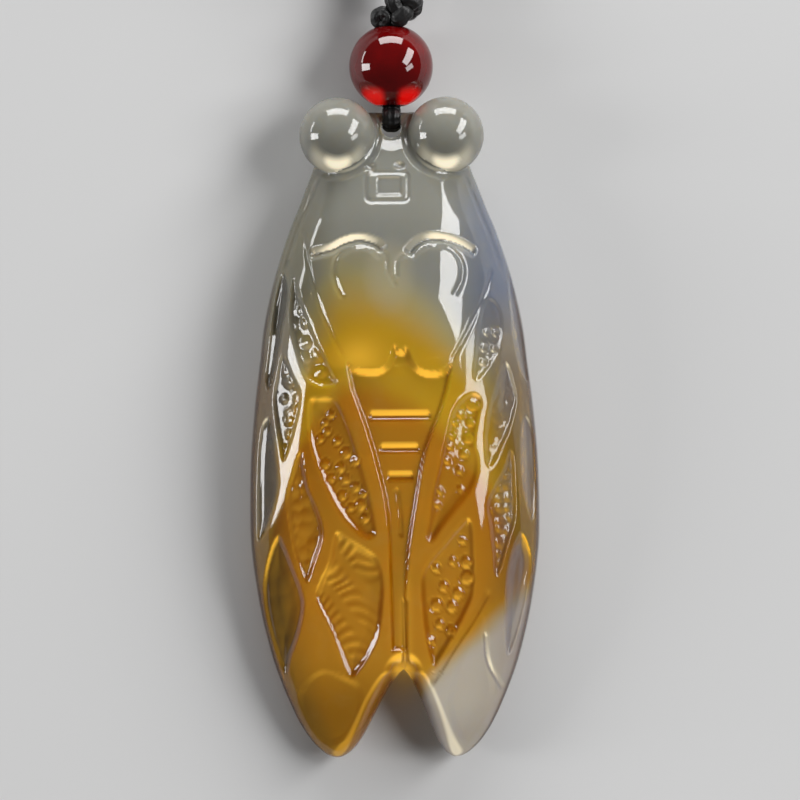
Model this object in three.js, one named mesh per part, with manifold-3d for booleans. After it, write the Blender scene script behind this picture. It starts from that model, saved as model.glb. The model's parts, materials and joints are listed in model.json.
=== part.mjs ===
// Jade cicada pendant: a cicada carved from one translucent agate, lying on its back, with the carved
// front up. A black cord goes through the hole in its head, up through a round carnelian bead and into
// a knot, and the rest of the cord is a neck loop, wound here into a coil held by a tie.
// Millimetres, +X to the right, +Y from the wing tips to the head, +Z up out of the carved front.
// The origin is on the ground under the middle of the cicada.
import * as THREE from 'three';
import { mergeVertices } from 'three/addons/utils/BufferGeometryUtils.js';
import Module from 'manifold-3d';

const wasm = await Module();
wasm.setup();

// The cicada as a whole
const LENGTH = 55;
const WIDTH = 24.2;
const THICKNESS = 10.5;
const GROUND_DEPTH = 0.35; // how much of the belly's swell is ground off flat, so that it lies still

// Eyes and the hole for the cord
const EYE_RADIUS = 3.2;
const EYE_SPACING = 8.96;
const EYE_LEVEL = 4.5; // of an eye's middle above the ground
const HOLE_FROM_TOP = 2.55;
const HOLE_CLEARANCE = 0.13;

// Depths of the carving
const CELL_DEPTH = 0.45;
const GROOVE_DEPTH = 0.4;
const ABDOMEN_DEPTH = 0.5;
const BACK_GROOVE_DEPTH = 0.3;

// Bead, cord and coil
const BEAD_RADIUS = 3.5;
const BEAD_GAP = 0.3; // from the top of the head to the bead
const CORD_DIAMETER = 1.5;
const STRAND_WIDTH = 1.44; // the cord lies flat where it is doubled inside the bead
const STRAND_THICKNESS = 0.76;
const STRAND_GAP = 0.1;
const JOINT_GAP = 0.3; // between pieces that touch
const COIL_COLUMNS = 3;
const COIL_LAYERS = 4;
const COIL_MIDDLE_RADIUS = 8.25;
const COIL_FROM_KNOT = 19.5; // from the knot's top to the coil's middle
const TIE_THICKNESS = 0.3;
const TIE_WIDTH = 2.4;

// How finely the curved surfaces are faceted
const UPPER_ROWS = 20;
const LOWER_ROWS = 7;
const COLUMNS = 8;
const OUTLINE_STEPS = 7;
const BEAD_STEPS = 10;
const EYE_FACETS = [16, 10];
const KNOT_FACETS = [10, 7];
const COIL_FACETS = 24;
const CORD_SIDES = 8;
const LOOP_STEPS = 32;
const STRETCH_STEPS = 10;

// Plan stations: [y, value], from the head down to the wing tips
const HEAD_TOP = 26.3;
const NOTCH_APEX = { x: 0.65, y: -20.2 };
const WING_TIP = { x: 4.95, y: -27.5 };
const HALF_WIDTH = [
  [26.3, 2.6], [25, 4.4], [23, 5.9], [21, 6.8], [18.3, 7.85], [16.5, 8.6], [14.2, 9.4], [11.8, 10.1],
  [8.6, 10.8], [5.4, 11.2], [2.2, 11.6], [-2.5, 12], [-6.8, 12.1], [-10.1, 12], [-14.5, 11.4],
  [-17.3, 10.8], [-20.1, 10], [-23.6, 8.6], [-27.5, 6.8],
];
const RIM_HEIGHT = [[26.3, 3], [20, 2.7], [8, 2.3], [-8, 2.2], [-20, 2], [-27.5, 1.8]];
const FRONT_HEIGHT = [
  [26.3, 4.5], [24, 5], [21, 6.6], [17, 8.6], [12, 9.7], [7, 9.9], [0, 9.6], [-8, 8.7], [-16, 7.2],
  [-22, 5.7], [-27.5, 4.2],
];
const BACK_HEIGHT = [
  [26.3, 2.1], [23, 1.3], [19, 0.4], [14, -0.1], [2, -GROUND_DEPTH], [-10, -0.15], [-18, 0.3],
  [-27.5, 0.9],
];
const THORAX_HALF_WIDTH = [[21, 6.2], [18, 7.1], [14.5, 7.1], [12, 6.8], [10, 6], [7, 4.9], [4, 3.4]];
const THORAX_SWELL = 0.65;
const THORAX_SPAN = { top: 20.5, bottom: 5.5, fade: 2.5 };
const ARCH = { across: 2.2, fall: 0.56 }; // the section is (1 - u^across)^fall of its height
const EDGE_RADIUS = { head: 1.6, notch: 1.7 };
const DRAWN_THICKNESS = 10.5;

// How far the plan is stretched from the size at which it is drawn to the sizes above
const STRETCH = new THREE.Vector3(
  WIDTH / 2 / Math.max(...HALF_WIDTH.map(([, half]) => half)),
  LENGTH / 2 / -WING_TIP.y,
  THICKNESS / DRAWN_THICKNESS,
);

// Wing cells: leaves from a head end to a tail end, with x counted outwards from the middle. bow bends
// the spine outwards, inner and outer are the half widths, and blunt gives the shape of both ends.
const LEFT_CELLS = [
  { from: [8.95, 12.9], to: [10.5, 3], bow: -0.15, inner: 0.65, outer: 0.65, blunt: [0.4, 0.8] },
  { from: [8.15, 12.5], to: [5.2, 3.3], bow: 0.75, inner: 0.95, outer: 1.1, blunt: [1, 0.4] },
  { from: [9.15, 6.2], to: [9.15, -2.8], bow: 0.1, inner: 1.15, outer: 0.55, blunt: [0.5, 0.8] },
  { from: [10.3, 1.2], to: [11.3, -9.4], bow: 0, inner: 1.1, outer: 0.65, blunt: [0.4, 0.8] },
  { from: [7.65, -1.9], to: [7.4, -12.6], bow: 0, inner: 1.35, outer: 1.15, blunt: [0.6, 0.6] },
  { from: [5.9, 2.6], to: [1.95, -9.1], bow: 0.4, inner: 1.25, outer: 1.5, blunt: [0.35, 0.6] },
  { from: [9.5, -9.4], to: [9.1, -20.5], bow: 0.2, inner: 1.4, outer: 1.1, blunt: [0.5, 0.8] },
  { from: [4.5, -8.7], to: [3.7, -20.4], bow: -0.2, inner: 2.4, outer: 2.2, blunt: [0.6, 0.8] },
  { from: [6.6, -20], to: [5.2, -26.6], bow: 0.5, inner: 1.5, outer: 1.3, blunt: [0.45, 0.6] },
];
const RIGHT_CELLS = [
  { from: [9.55, 12.9], to: [11, 3.5], bow: -0.2, inner: 0.25, outer: 0.3, blunt: [0.5, 0.6] },
  { from: [8.65, 12.8], to: [6.9, 3.8], bow: -0.2, inner: 0.6, outer: 0.9, blunt: [0.8, 0.45] },
  { from: [9.5, 5.5], to: [7.9, -3.4], bow: 0.2, inner: 0.95, outer: 1, blunt: [0.6, 0.7] },
  { from: [10.95, 1.1], to: [11.3, -8.1], bow: -0.2, inner: 0.55, outer: 0.4, blunt: [0.5, 0.6] },
  { from: [9.3, -1.9], to: [8.2, -12.4], bow: 0, inner: 1.05, outer: 0.95, blunt: [0.6, 0.9] },
  { from: [6.4, 2.8], to: [4.2, -8.6], bow: 0, inner: 1.85, outer: 1.45, blunt: [0.45, 0.4] },
  { from: [10.4, -9], to: [8.9, -20.8], bow: 0.5, inner: 0.8, outer: 0.6, blunt: [0.6, 0.9] },
  { from: [5.3, -9.2], to: [3.2, -19.6], bow: 0, inner: 1.9, outer: 1.75, blunt: [0.5, 0.7] },
  { from: [6.6, -16.5], to: [5.2, -26.6], bow: 0.3, inner: 1.6, outer: 1.3, blunt: [0.8, 0.6] },
];

// Where each wing's inner edge lies over the abdomen, from the shield down to the notch
const LEFT_WING_EDGE = [
  [-3.75, 5.2], [-3.45, 3.2], [-2.45, 0.4], [-1.7, -2.1], [-1.2, -4.1], [-0.75, -6.2], [-0.5, -9.4],
  [-0.4, -13.8], [-0.3, -18.4],
];
const RIGHT_WING_EDGE = [
  [4.8, 5.2], [4.4, 3], [3.65, 0.8], [2.9, -1.1], [2.35, -3], [1.95, -5.2], [1.6, -7.3], [1.15, -10.3],
  [0.85, -14.4], [0.9, -18.4],
];
const SHIELD_EDGE = [
  [-3.75, 5.2], [-2.3, 4.4], [-0.9, 4.9], [0.25, 7], [1.3, 5.7], [2.8, 4.3], [4.8, 5.2],
];

// Grooves on the front: the line that each follows and its width
const FRONT_GROOVES = [
  { line: [[-6.9, 14.6], [-5.5, 15], [-3.1, 16.05], [-1.3, 15.3], [-0.25, 13.2]], width: 1 },
  { line: [[6.9, 14.6], [5.6, 15.3], [3.5, 16.15], [1.5, 15.4], [0.45, 13.6]], width: 1 },
  { line: [[-4.5, 14.6], [-4.85, 12.7], [-4.5, 11.5], [-3.7, 10.3]], width: 0.75 },
  { line: [[5.2, 14.7], [5.8, 13], [5.6, 11.7], [4.8, 10.6]], width: 0.75 },
  { line: [[-8.1, 17.4], [-7.3, 15.8], [-7, 13.9], [-6.1, 10.4], [-4.7, 7], [-3.95, 5.6]], width: 0.6 },
  { line: [[8.1, 17.4], [7.6, 15.8], [7.2, 13.9], [6.6, 10.4], [5.5, 7], [4.95, 5.7]], width: 0.6 },
];
const FACE_PLATE = { x: -0.4, y: 19.95, width: 3.8, height: 2.7 };
const FACE_PLATE_GROOVE = 0.22;
const FACE_WINDOW = { x: -0.25, y: 19.97, width: 2.2, height: 1.7 };
const ABDOMEN_BARS = [
  { y: 1, from: -2.1, to: 3.1 },
  { y: -1.7, from: -1.2, to: 2.1 },
  { y: -4, from: -0.6, to: 1.6 },
];
const BAR_WIDTH = 0.6;
const BACK_SEGMENTS = { first: 5, last: -15, count: 6, reach: 5.2, narrowing: 0.45, sag: 1.4, width: 0.6 };
const BACK_WING_LINE = [[8.2, 14.5], [9.2, 6], [9.4, -4], [8, -14], [5.6, -21.5]];

// Smooth value at y of a list of stations that runs down from the head
function at(stations, y) {
  const last = stations.length - 1;
  const found = stations.findIndex(([station]) => station <= y);
  const k = THREE.MathUtils.clamp(found < 0 ? last : found, 1, last);
  const slope = (i) => {
    const above = stations[Math.max(i - 1, 0)];
    const below = stations[Math.min(i + 1, last)];
    return (below[1] - above[1]) / (below[0] - above[0]);
  };
  const [y0, v0] = stations[k - 1];
  const [y1, v1] = stations[k];
  const span = y1 - y0;
  const t = THREE.MathUtils.clamp((y - y0) / span, 0, 1);
  const bend0 = slope(k - 1) * span - (v1 - v0);
  const bend1 = (v1 - v0) - slope(k) * span;
  return v0 + (v1 - v0) * t + t * (1 - t) * (bend0 * (1 - t) + bend1 * t);
}

// 0 at an edge, rising as a quarter circle to 1 at the radius
function rounded(distance, radius) {
  const share = THREE.MathUtils.clamp(distance / radius, 0, 1);
  return Math.sqrt(1 - (1 - share) ** 2);
}

// The line on which the two wings meet leans a little to the right towards the notch.
function seam(y) {
  return NOTCH_APEX.x * THREE.MathUtils.smoothstep(-y, 0, -NOTCH_APEX.y);
}

// How far down the notch y is, from 0 at its apex to 1 at the wing tips
function downNotch(y) {
  return THREE.MathUtils.clamp((NOTCH_APEX.y - y) / (NOTCH_APEX.y - WING_TIP.y), 0, 1);
}

function outerEdge(side, y) {
  const round = Math.sqrt(1 - downNotch(y) ** 6);
  return side * (WING_TIP.x + (at(HALF_WIDTH, y) - WING_TIP.x) * round);
}

function innerEdge(side, y) {
  const s = downNotch(y);
  const spread = 0.72 * s ** 0.75 + 0.28 * (1 - Math.sqrt(1 - s ** 6));
  return s > 0 ? NOTCH_APEX.x + (side * WING_TIP.x - NOTCH_APEX.x) * spread : seam(y);
}

// Distance from the edge of the notch, measured from its apex above it
function fromNotch(x, y) {
  if (y > NOTCH_APEX.y) return Math.hypot(x - NOTCH_APEX.x, y - NOTCH_APEX.y);
  const side = Math.sign(x - NOTCH_APEX.x) || 1;
  return Math.abs(x - innerEdge(side, y));
}

// Share of its full height that a section has at this place: 1 in the middle, 0 on every edge
function arch(side, x, y) {
  const share = Math.min(Math.abs(x / outerEdge(side, y)), 1);
  const across = (1 - share ** ARCH.across) ** ARCH.fall;
  return across * rounded(HEAD_TOP - y, EDGE_RADIUS.head) * rounded(fromNotch(x, y), EDGE_RADIUS.notch);
}

function thoraxSwell(x, y) {
  const across = Math.abs(x) / at(THORAX_HALF_WIDTH, y);
  const along = THREE.MathUtils.smoothstep(y, THORAX_SPAN.bottom - THORAX_SPAN.fade, THORAX_SPAN.bottom)
    * (1 - THREE.MathUtils.smoothstep(y, THORAX_SPAN.top - THORAX_SPAN.fade, THORAX_SPAN.top));
  return THORAX_SWELL * along * (1 - THREE.MathUtils.smoothstep(across, 0.6, 1.15));
}

function frontHeight(side, x, y) {
  const rim = at(RIM_HEIGHT, y);
  return rim + (at(FRONT_HEIGHT, y) - rim + thoraxSwell(x, y)) * arch(side, x, y);
}

function backHeight(side, x, y) {
  const rim = at(RIM_HEIGHT, y);
  return rim + (at(BACK_HEIGHT, y) - rim) * arch(side, x, y);
}

// A grid of points on one wing side, from the head or the notch down, on the front or on the back
function patch(side, height, yFrom, yTo, rows, crowding) {
  const points = [];
  for (let row = 0; row <= rows; row += 1) {
    const y = yFrom + (yTo - yFrom) * crowding(row / rows);
    const inner = innerEdge(side, y);
    const outer = outerEdge(side, y);
    for (let column = 0; column <= COLUMNS; column += 1) {
      const t = column / COLUMNS;
      const toOuter = (t + Math.sin(Math.PI * t / 2)) / 2;
      const toBoth = (t + (1 - Math.cos(Math.PI * t)) / 2) / 2;
      const x = THREE.MathUtils.lerp(inner, outer, THREE.MathUtils.lerp(toOuter, toBoth, downNotch(y)));
      points.push(x, y, height(side, x, y));
    }
  }
  return points;
}

function pushTriangles(index, rows, first, flipped) {
  const wide = COLUMNS + 1;
  for (let row = 0; row < rows; row += 1) {
    for (let column = 0; column < COLUMNS; column += 1) {
      const a = first + row * wide + column;
      const faces = [[a, a + wide, a + 1], [a + 1, a + wide, a + wide + 1]];
      faces.forEach(([p, q, r]) => index.push(...(flipped ? [p, r, q] : [p, q, r])));
    }
  }
}

// The uncarved body: two sides, each with an upper band and a wing-tip band, front and back
function bodyGeometry() {
  const bands = [
    { from: HEAD_TOP, to: NOTCH_APEX.y, rows: UPPER_ROWS, crowding: (t) => t ** 1.25 },
    { from: NOTCH_APEX.y, to: WING_TIP.y, rows: LOWER_ROWS, crowding: (t) => 1 - (1 - t) ** 1.7 },
  ];
  const position = [];
  const index = [];
  for (const side of [-1, 1]) {
    for (const height of [frontHeight, backHeight]) {
      for (const { from, to, rows, crowding } of bands) {
        const flipped = (side > 0) !== (height === frontHeight);
        pushTriangles(index, rows, position.length / 3, flipped);
        position.push(...patch(side, height, from, to, rows, crowding));
      }
    }
  }
  const geometry = new THREE.BufferGeometry();
  geometry.setAttribute('position', new THREE.Float32BufferAttribute(position, 3));
  geometry.setIndex(index);
  return geometry;
}

function toSolid(source) {
  const bare = source.clone();
  bare.deleteAttribute('normal');
  bare.deleteAttribute('uv');
  const merged = mergeVertices(bare, 1e-4);
  const index = merged.index.array;
  const triangles = [];
  for (let i = 0; i < index.length; i += 3) {
    const [a, b, c] = index.slice(i, i + 3);
    if (a !== b && b !== c && c !== a) triangles.push(a, b, c);
  }
  return new wasm.Manifold(new wasm.Mesh({
    numProp: 3,
    vertProperties: new Float32Array(merged.attributes.position.array),
    triVerts: new Uint32Array(triangles),
  }));
}

function toGeometry(solid) {
  const mesh = solid.getMesh();
  const geometry = new THREE.BufferGeometry();
  geometry.setAttribute('position', new THREE.BufferAttribute(new Float32Array(mesh.vertProperties), 3));
  geometry.setIndex(new THREE.BufferAttribute(new Uint32Array(mesh.triVerts), 1));
  return geometry;
}

// Outline of one wing cell, as points around it
function cellOutline(side, { from, to, bow, inner, outer, blunt }) {
  const start = new THREE.Vector2(...from);
  const run = new THREE.Vector2(...to).sub(start);
  const outwards = new THREE.Vector2(-run.y, run.x).normalize();
  const [head, tail] = blunt;
  const widest = head / (head + tail);
  const full = widest ** head * (1 - widest) ** tail;
  const edge = (half) => (step) => {
    const t = (1 - Math.cos(Math.PI * step / OUTLINE_STEPS)) / 2;
    const width = half * t ** head * (1 - t) ** tail / full;
    const away = bow * 4 * t * (1 - t) + width;
    const point = start.clone().addScaledVector(run, t).addScaledVector(outwards, away);
    return new THREE.Vector2(side * point.x, point.y);
  };
  const steps = Array.from({ length: OUTLINE_STEPS + 1 }, (_, step) => step);
  return [...steps.map(edge(outer)), ...steps.slice(1, -1).reverse().map(edge(-inner))];
}

function smoothLine(points, count) {
  return new THREE.SplineCurve(points.map((point) => new THREE.Vector2(...point))).getPoints(count);
}

// Outline of a groove: a ribbon along a line that narrows to a point at both ends
function grooveOutline({ line, width }) {
  const middle = smoothLine(line, OUTLINE_STEPS);
  const offset = (sign) => (point, i) => {
    const before = middle[Math.max(i - 1, 0)];
    const after = middle[Math.min(i + 1, OUTLINE_STEPS)];
    const along = after.clone().sub(before).normalize();
    const half = sign * width / 2 * Math.sin(Math.PI * i / OUTLINE_STEPS) ** 0.5;
    return new THREE.Vector2(point.x - along.y * half, point.y + along.x * half);
  };
  const one = middle.map(offset(1));
  const other = middle.slice(1, -1).map((point, i) => offset(-1)(point, i + 1));
  return [...one, ...other.reverse()];
}

function rectangleOutline({ x, y, width, height }) {
  const corners = [[-1, -1], [1, -1], [1, 1], [-1, 1]];
  return corners.map(([i, j]) => new THREE.Vector2(x + i * width / 2, y + j * height / 2));
}

// A straight prism over an outline
function prism(outline, bottom, top, hole = null) {
  const shape = new THREE.Shape(outline);
  if (hole) shape.holes.push(new THREE.Path(hole));
  const geometry = new THREE.ExtrudeGeometry(shape, { depth: top - bottom, bevelEnabled: false });
  return toSolid(geometry.translate(0, 0, bottom));
}

function joinAll(solids) {
  return solids.reduce((sum, solid) => sum.add(solid));
}

// Cutter that takes a layer of this depth off the front inside the prisms, so its floor follows the form
function frontLayer(prisms, depth) {
  return joinAll(prisms).subtract(toSolid(bodyGeometry().translate(0, 0, -depth)));
}

function backLayer(prisms, depth) {
  return joinAll(prisms).subtract(toSolid(bodyGeometry().translate(0, 0, depth)));
}

const FRONT_PRISM = [2.4, 16]; // from about the rim to above the highest point
const BACK_PRISM = [-5, 1.7];

function abdomenOutline() {
  const left = smoothLine(LEFT_WING_EDGE, 10).reverse();
  const right = smoothLine(RIGHT_WING_EDGE, 10);
  const shield = smoothLine(SHIELD_EDGE, 16).slice(1, -1);
  return [...left, ...shield, ...right];
}

function facePlate() {
  const within = {
    ...FACE_PLATE,
    width: FACE_PLATE.width - 2 * FACE_PLATE_GROOVE,
    height: FACE_PLATE.height - 2 * FACE_PLATE_GROOVE,
  };
  const groove = prism(rectangleOutline(FACE_PLATE), ...FRONT_PRISM, rectangleOutline(within));
  return [groove, prism(rectangleOutline(FACE_WINDOW), ...FRONT_PRISM)];
}

function barOutline({ y, from, to }) {
  return rectangleOutline({ x: (from + to) / 2, y, width: to - from, height: BAR_WIDTH });
}

function backSegmentOutline(i) {
  const { first, last, count, reach, narrowing, sag, width } = BACK_SEGMENTS;
  const down = i / (count - 1);
  const y = THREE.MathUtils.lerp(first, last, down);
  const half = reach * (1 - narrowing * down);
  return grooveOutline({ line: [[-half, y + sag], [0, y], [half, y + sag]], width });
}

function carvedBody() {
  const cells = [
    ...LEFT_CELLS.map((cell) => cellOutline(-1, cell).reverse()),
    ...RIGHT_CELLS.map((cell) => cellOutline(1, cell)),
  ];
  const overFront = (outline) => prism(outline, ...FRONT_PRISM);
  const overBack = (outline) => prism(outline, ...BACK_PRISM);
  const backLines = [1, -1].map((side) => BACK_WING_LINE.map(([x, y]) => [side * x, y]));
  const segments = Array.from({ length: BACK_SEGMENTS.count }, (_, i) => backSegmentOutline(i));
  const backGrooves = backLines.map((line) => grooveOutline({ line, width: BACK_SEGMENTS.width }));
  return toSolid(bodyGeometry())
    .subtract(frontLayer([overFront(abdomenOutline())], ABDOMEN_DEPTH))
    .subtract(frontLayer(ABDOMEN_BARS.map(barOutline).map(overFront), ABDOMEN_DEPTH + GROOVE_DEPTH))
    .subtract(frontLayer(cells.map(overFront), CELL_DEPTH))
    .subtract(frontLayer(FRONT_GROOVES.map(grooveOutline).map(overFront), GROOVE_DEPTH))
    .subtract(frontLayer(facePlate(), GROOVE_DEPTH))
    .subtract(backLayer([...segments, ...backGrooves].map(overBack), BACK_GROOVE_DEPTH));
}

const EYE_CENTRE_Y = LENGTH / 2 - EYE_RADIUS;
const HOLE_Y = LENGTH / 2 - HOLE_FROM_TOP;
const HOLE_RADIUS = STRAND_WIDTH / 2 + HOLE_CLEARANCE;

function eye(side) {
  const geometry = new THREE.SphereGeometry(EYE_RADIUS, ...EYE_FACETS).rotateX(Math.PI / 2);
  return toSolid(geometry.translate(side * EYE_SPACING / 2, EYE_CENTRE_Y, EYE_LEVEL * STRETCH.z));
}

function cicadaGeometry() {
  const body = toSolid(toGeometry(carvedBody()).scale(STRETCH.x, STRETCH.y, STRETCH.z));
  const drill = new THREE.CylinderGeometry(HOLE_RADIUS, HOLE_RADIUS, 4 * THICKNESS, 16);
  const hole = toSolid(drill.rotateX(Math.PI / 2).translate(0, HOLE_Y, 0));
  const below = new THREE.BoxGeometry(2 * WIDTH, 2 * LENGTH, THICKNESS).translate(0, 0, -THICKNESS / 2);
  return toGeometry(body.add(eye(-1)).add(eye(1)).subtract(hole).subtract(toSolid(below)));
}

// Bead: a ball with a bore along Y that clears both flat strands, on the ground just beyond the head
const STRAND_SPACING = STRAND_THICKNESS + STRAND_GAP;
const BORE_RADIUS = Math.hypot(STRAND_WIDTH, STRAND_SPACING + STRAND_THICKNESS) / 2;
const BEAD_CENTRE_Y = HEAD_TOP * STRETCH.y + BEAD_GAP + BEAD_RADIUS;
const BEAD_TOP = BEAD_CENTRE_Y + BEAD_RADIUS;

function beadGeometry() {
  const half = Math.sqrt(BEAD_RADIUS ** 2 - BORE_RADIUS ** 2);
  const mouth = Math.asin(BORE_RADIUS / BEAD_RADIUS);
  const arc = Array.from({ length: BEAD_STEPS + 1 }, (_, i) => {
    const angle = THREE.MathUtils.lerp(Math.PI - mouth, mouth, i / BEAD_STEPS);
    return new THREE.Vector2(BEAD_RADIUS * Math.sin(angle), BEAD_RADIUS * Math.cos(angle));
  });
  const bore = [new THREE.Vector2(BORE_RADIUS, half), new THREE.Vector2(BORE_RADIUS, -half)];
  const profile = [...arc.slice(0, -1), ...bore];
  profile[0].copy(bore[1]);
  return new THREE.LatheGeometry(profile, 2 * BEAD_STEPS).translate(0, BEAD_CENTRE_Y, BEAD_RADIUS);
}

// A solid cord or strand along a route, with an oval section
function cordGeometry(route, width, thickness, steps) {
  const section = new THREE.Shape();
  section.absellipse(0, 0, width / 2, thickness / 2, 0, 2 * Math.PI, false, 0);
  const outline = new THREE.Shape(section.getSpacedPoints(CORD_SIDES).slice(0, CORD_SIDES));
  const curve = new THREE.CatmullRomCurve3(route.map((point) => new THREE.Vector3(...point)));
  return new THREE.ExtrudeGeometry(outline, { steps, extrudePath: curve, bevelEnabled: false });
}

// Hanging loop: down through the bead in front, over the head's bridge into the hole, and back up behind
const LOOP_END = BEAD_TOP - JOINT_GAP;

function hangingLoopGeometry() {
  const front = BEAD_RADIUS + STRAND_SPACING / 2;
  const rear = BEAD_RADIUS - STRAND_SPACING / 2;
  const mouth = BEAD_CENTRE_Y - BEAD_RADIUS;
  const inHole = HOLE_Y + 0.1;
  const route = [
    [0, LOOP_END, front], [0, BEAD_CENTRE_Y, front], [0, mouth + 1, front],
    [0, mouth + 0.3, front], [0, mouth - 0.2, 4.2], [0, mouth - 0.65, 4.65],
    [0, inHole + 0.25, 4.4], [0, inHole, 3.6], [0, inHole, 2.8], [0, inHole + 0.25, 2.05],
    [0, mouth - 0.65, 1.85], [0, mouth - 0.25, 2.35], [0, mouth + 0.25, rear - 0.03],
    [0, mouth + 1, rear], [0, BEAD_CENTRE_Y, rear], [0, LOOP_END, rear],
  ];
  return cordGeometry(route, STRAND_THICKNESS, STRAND_WIDTH, LOOP_STEPS);
}

// Knot: three lobes of wound cord above the bead, leaning right
const KNOT_LOBES = [
  { x: -0.85, y: 1.1, z: 4.4, radii: [0.95, 0.95, 0.95] },
  { x: 1, y: 1.6, z: 3.9, radii: [1.5, 1.35, 1.5] },
  { x: 0.3, y: 2.7, z: 3.4, radii: [1.3, 1.1, 1.3] },
];
const KNOT_TOP = BEAD_TOP + KNOT_LOBES[2].y + KNOT_LOBES[2].radii[1];

function knotGeometry() {
  const lobes = KNOT_LOBES.map(({ x, y, z, radii }) => {
    const ball = new THREE.SphereGeometry(1, ...KNOT_FACETS).scale(...radii);
    return toSolid(ball.translate(x, BEAD_TOP + y, z));
  });
  return toGeometry(joinAll(lobes));
}

// Coil of the neck cord: its ring lies on the tie's lower band, beyond the knot.
const COIL_CENTRE_Y = KNOT_TOP + COIL_FROM_KNOT;
const COIL_HALF_BREADTH = COIL_COLUMNS * CORD_DIAMETER / 2;
const COIL_BOTTOM = TIE_THICKNESS + JOINT_GAP;
const COIL_HEIGHT = COIL_LAYERS * CORD_DIAMETER;
const COIL_INNER = COIL_MIDDLE_RADIUS - COIL_HALF_BREADTH;
const COIL_OUTER = COIL_MIDDLE_RADIUS + COIL_HALF_BREADTH;

function coilGeometry() {
  const chamfer = CORD_DIAMETER / 3;
  const top = COIL_BOTTOM + COIL_HEIGHT;
  const profile = [
    [COIL_OUTER - chamfer, COIL_BOTTOM], [COIL_OUTER, COIL_BOTTOM + chamfer],
    [COIL_OUTER, top - chamfer], [COIL_OUTER - chamfer, top],
    [COIL_INNER + chamfer, top], [COIL_INNER, top - chamfer],
    [COIL_INNER, COIL_BOTTOM + chamfer], [COIL_INNER + chamfer, COIL_BOTTOM],
    [COIL_OUTER - chamfer, COIL_BOTTOM],
  ].map((point) => new THREE.Vector2(...point));
  return new THREE.LatheGeometry(profile, COIL_FACETS).rotateX(Math.PI / 2).translate(0, COIL_CENTRE_Y, 0);
}

// Tie: a flat band round the coil's bundle, on the side away from the cicada
function tieGeometry() {
  const box = (grow) => rectangleOutline({
    x: COIL_MIDDLE_RADIUS,
    y: COIL_BOTTOM + COIL_HEIGHT / 2,
    width: 2 * COIL_HALF_BREADTH + 2 * grow,
    height: COIL_HEIGHT + 2 * grow,
  });
  const shape = new THREE.Shape(box(JOINT_GAP + TIE_THICKNESS));
  shape.holes.push(new THREE.Path(box(JOINT_GAP)));
  const band = new THREE.ExtrudeGeometry(shape, { depth: TIE_WIDTH, bevelEnabled: false });
  const upright = band.translate(0, 0, -TIE_WIDTH / 2).rotateX(Math.PI / 2).rotateZ(Math.PI / 2);
  return upright.translate(0, COIL_CENTRE_Y, 0);
}

// Free stretches of the neck cord: out of the knot, down to the ground and up to the coil's outer turn
const CORD_RADIUS = CORD_DIAMETER / 2;
const STRETCH_START = KNOT_TOP + JOINT_GAP;
const COIL_MEET = (COIL_OUTER + CORD_RADIUS + JOINT_GAP) * Math.SQRT1_2; // across and down from its middle

function neckCordOutGeometry() {
  const route = [
    [1, STRETCH_START, 3], [1.2, STRETCH_START + 1.6, 2.7], [1.6, STRETCH_START + 3.2, 2],
    [2.5, STRETCH_START + 4.8, 1.2], [3.8, STRETCH_START + 6.4, CORD_RADIUS + 0.03],
    [5.4, STRETCH_START + 8.2, CORD_RADIUS + 0.05], [6.9, STRETCH_START + 9.7, 0.95],
    [COIL_MEET, COIL_CENTRE_Y - COIL_MEET, 1.15],
  ];
  return cordGeometry(route, CORD_DIAMETER, CORD_DIAMETER, STRETCH_STEPS);
}

function neckCordBackGeometry() {
  const route = [
    [-0.7, STRETCH_START, 3], [-0.9, STRETCH_START + 1.6, 2.6], [-1.2, STRETCH_START + 3.2, 1.7],
    [-2.2, STRETCH_START + 4.8, 1], [-3.7, STRETCH_START + 6.5, 1.3],
    [-5.5, STRETCH_START + 8.2, 3], [-7, STRETCH_START + 9.8, 4.8],
    [-COIL_MEET, COIL_CENTRE_Y - COIL_MEET, 5.6],
  ];
  return cordGeometry(route, CORD_DIAMETER, CORD_DIAMETER, STRETCH_STEPS);
}

const AGATE = { color: 0xb9a06a, roughness: 0.08, metalness: 0 };
const CARNELIAN = { color: 0x5a0a0c, roughness: 0.07, metalness: 0 };
const WAXED_CORD = { color: 0x111111, roughness: 0.5, metalness: 0 };

const pendant = new THREE.Group();

function addPiece(name, geometry, finish) {
  const piece = new THREE.Mesh(geometry, new THREE.MeshStandardMaterial(finish));
  piece.name = name;
  pendant.add(piece);
}

addPiece('cicada', cicadaGeometry(), AGATE);
addPiece('bead', beadGeometry(), CARNELIAN);
addPiece('hanging_loop', hangingLoopGeometry(), WAXED_CORD);
addPiece('cord_knot', knotGeometry(), WAXED_CORD);
addPiece('neck_cord_out', neckCordOutGeometry(), WAXED_CORD);
addPiece('neck_cord_coil', coilGeometry(), WAXED_CORD);
addPiece('neck_cord_back', neckCordBackGeometry(), WAXED_CORD);
addPiece('coil_tie', tieGeometry(), WAXED_CORD);

export default pendant;
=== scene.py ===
# %% [markdown]
# # A jade cicada pendant, lying on its back
#
# The pendant is one carved piece of "ice" agate, clear grey at the head and golden amber lower down,
# on a black waxed cord with a round carnelian bead above its head. The solids of the same pendant come
# in as a fixed frame, in metres, +Y from the wing tips to the head and +Z up out of the carved front.
# Lengths below are in millimetres, and one factor turns them into Blender's metres.

# %% Load the frame
import json
import math

import bpy
import numpy as np
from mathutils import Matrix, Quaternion, Vector

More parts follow.
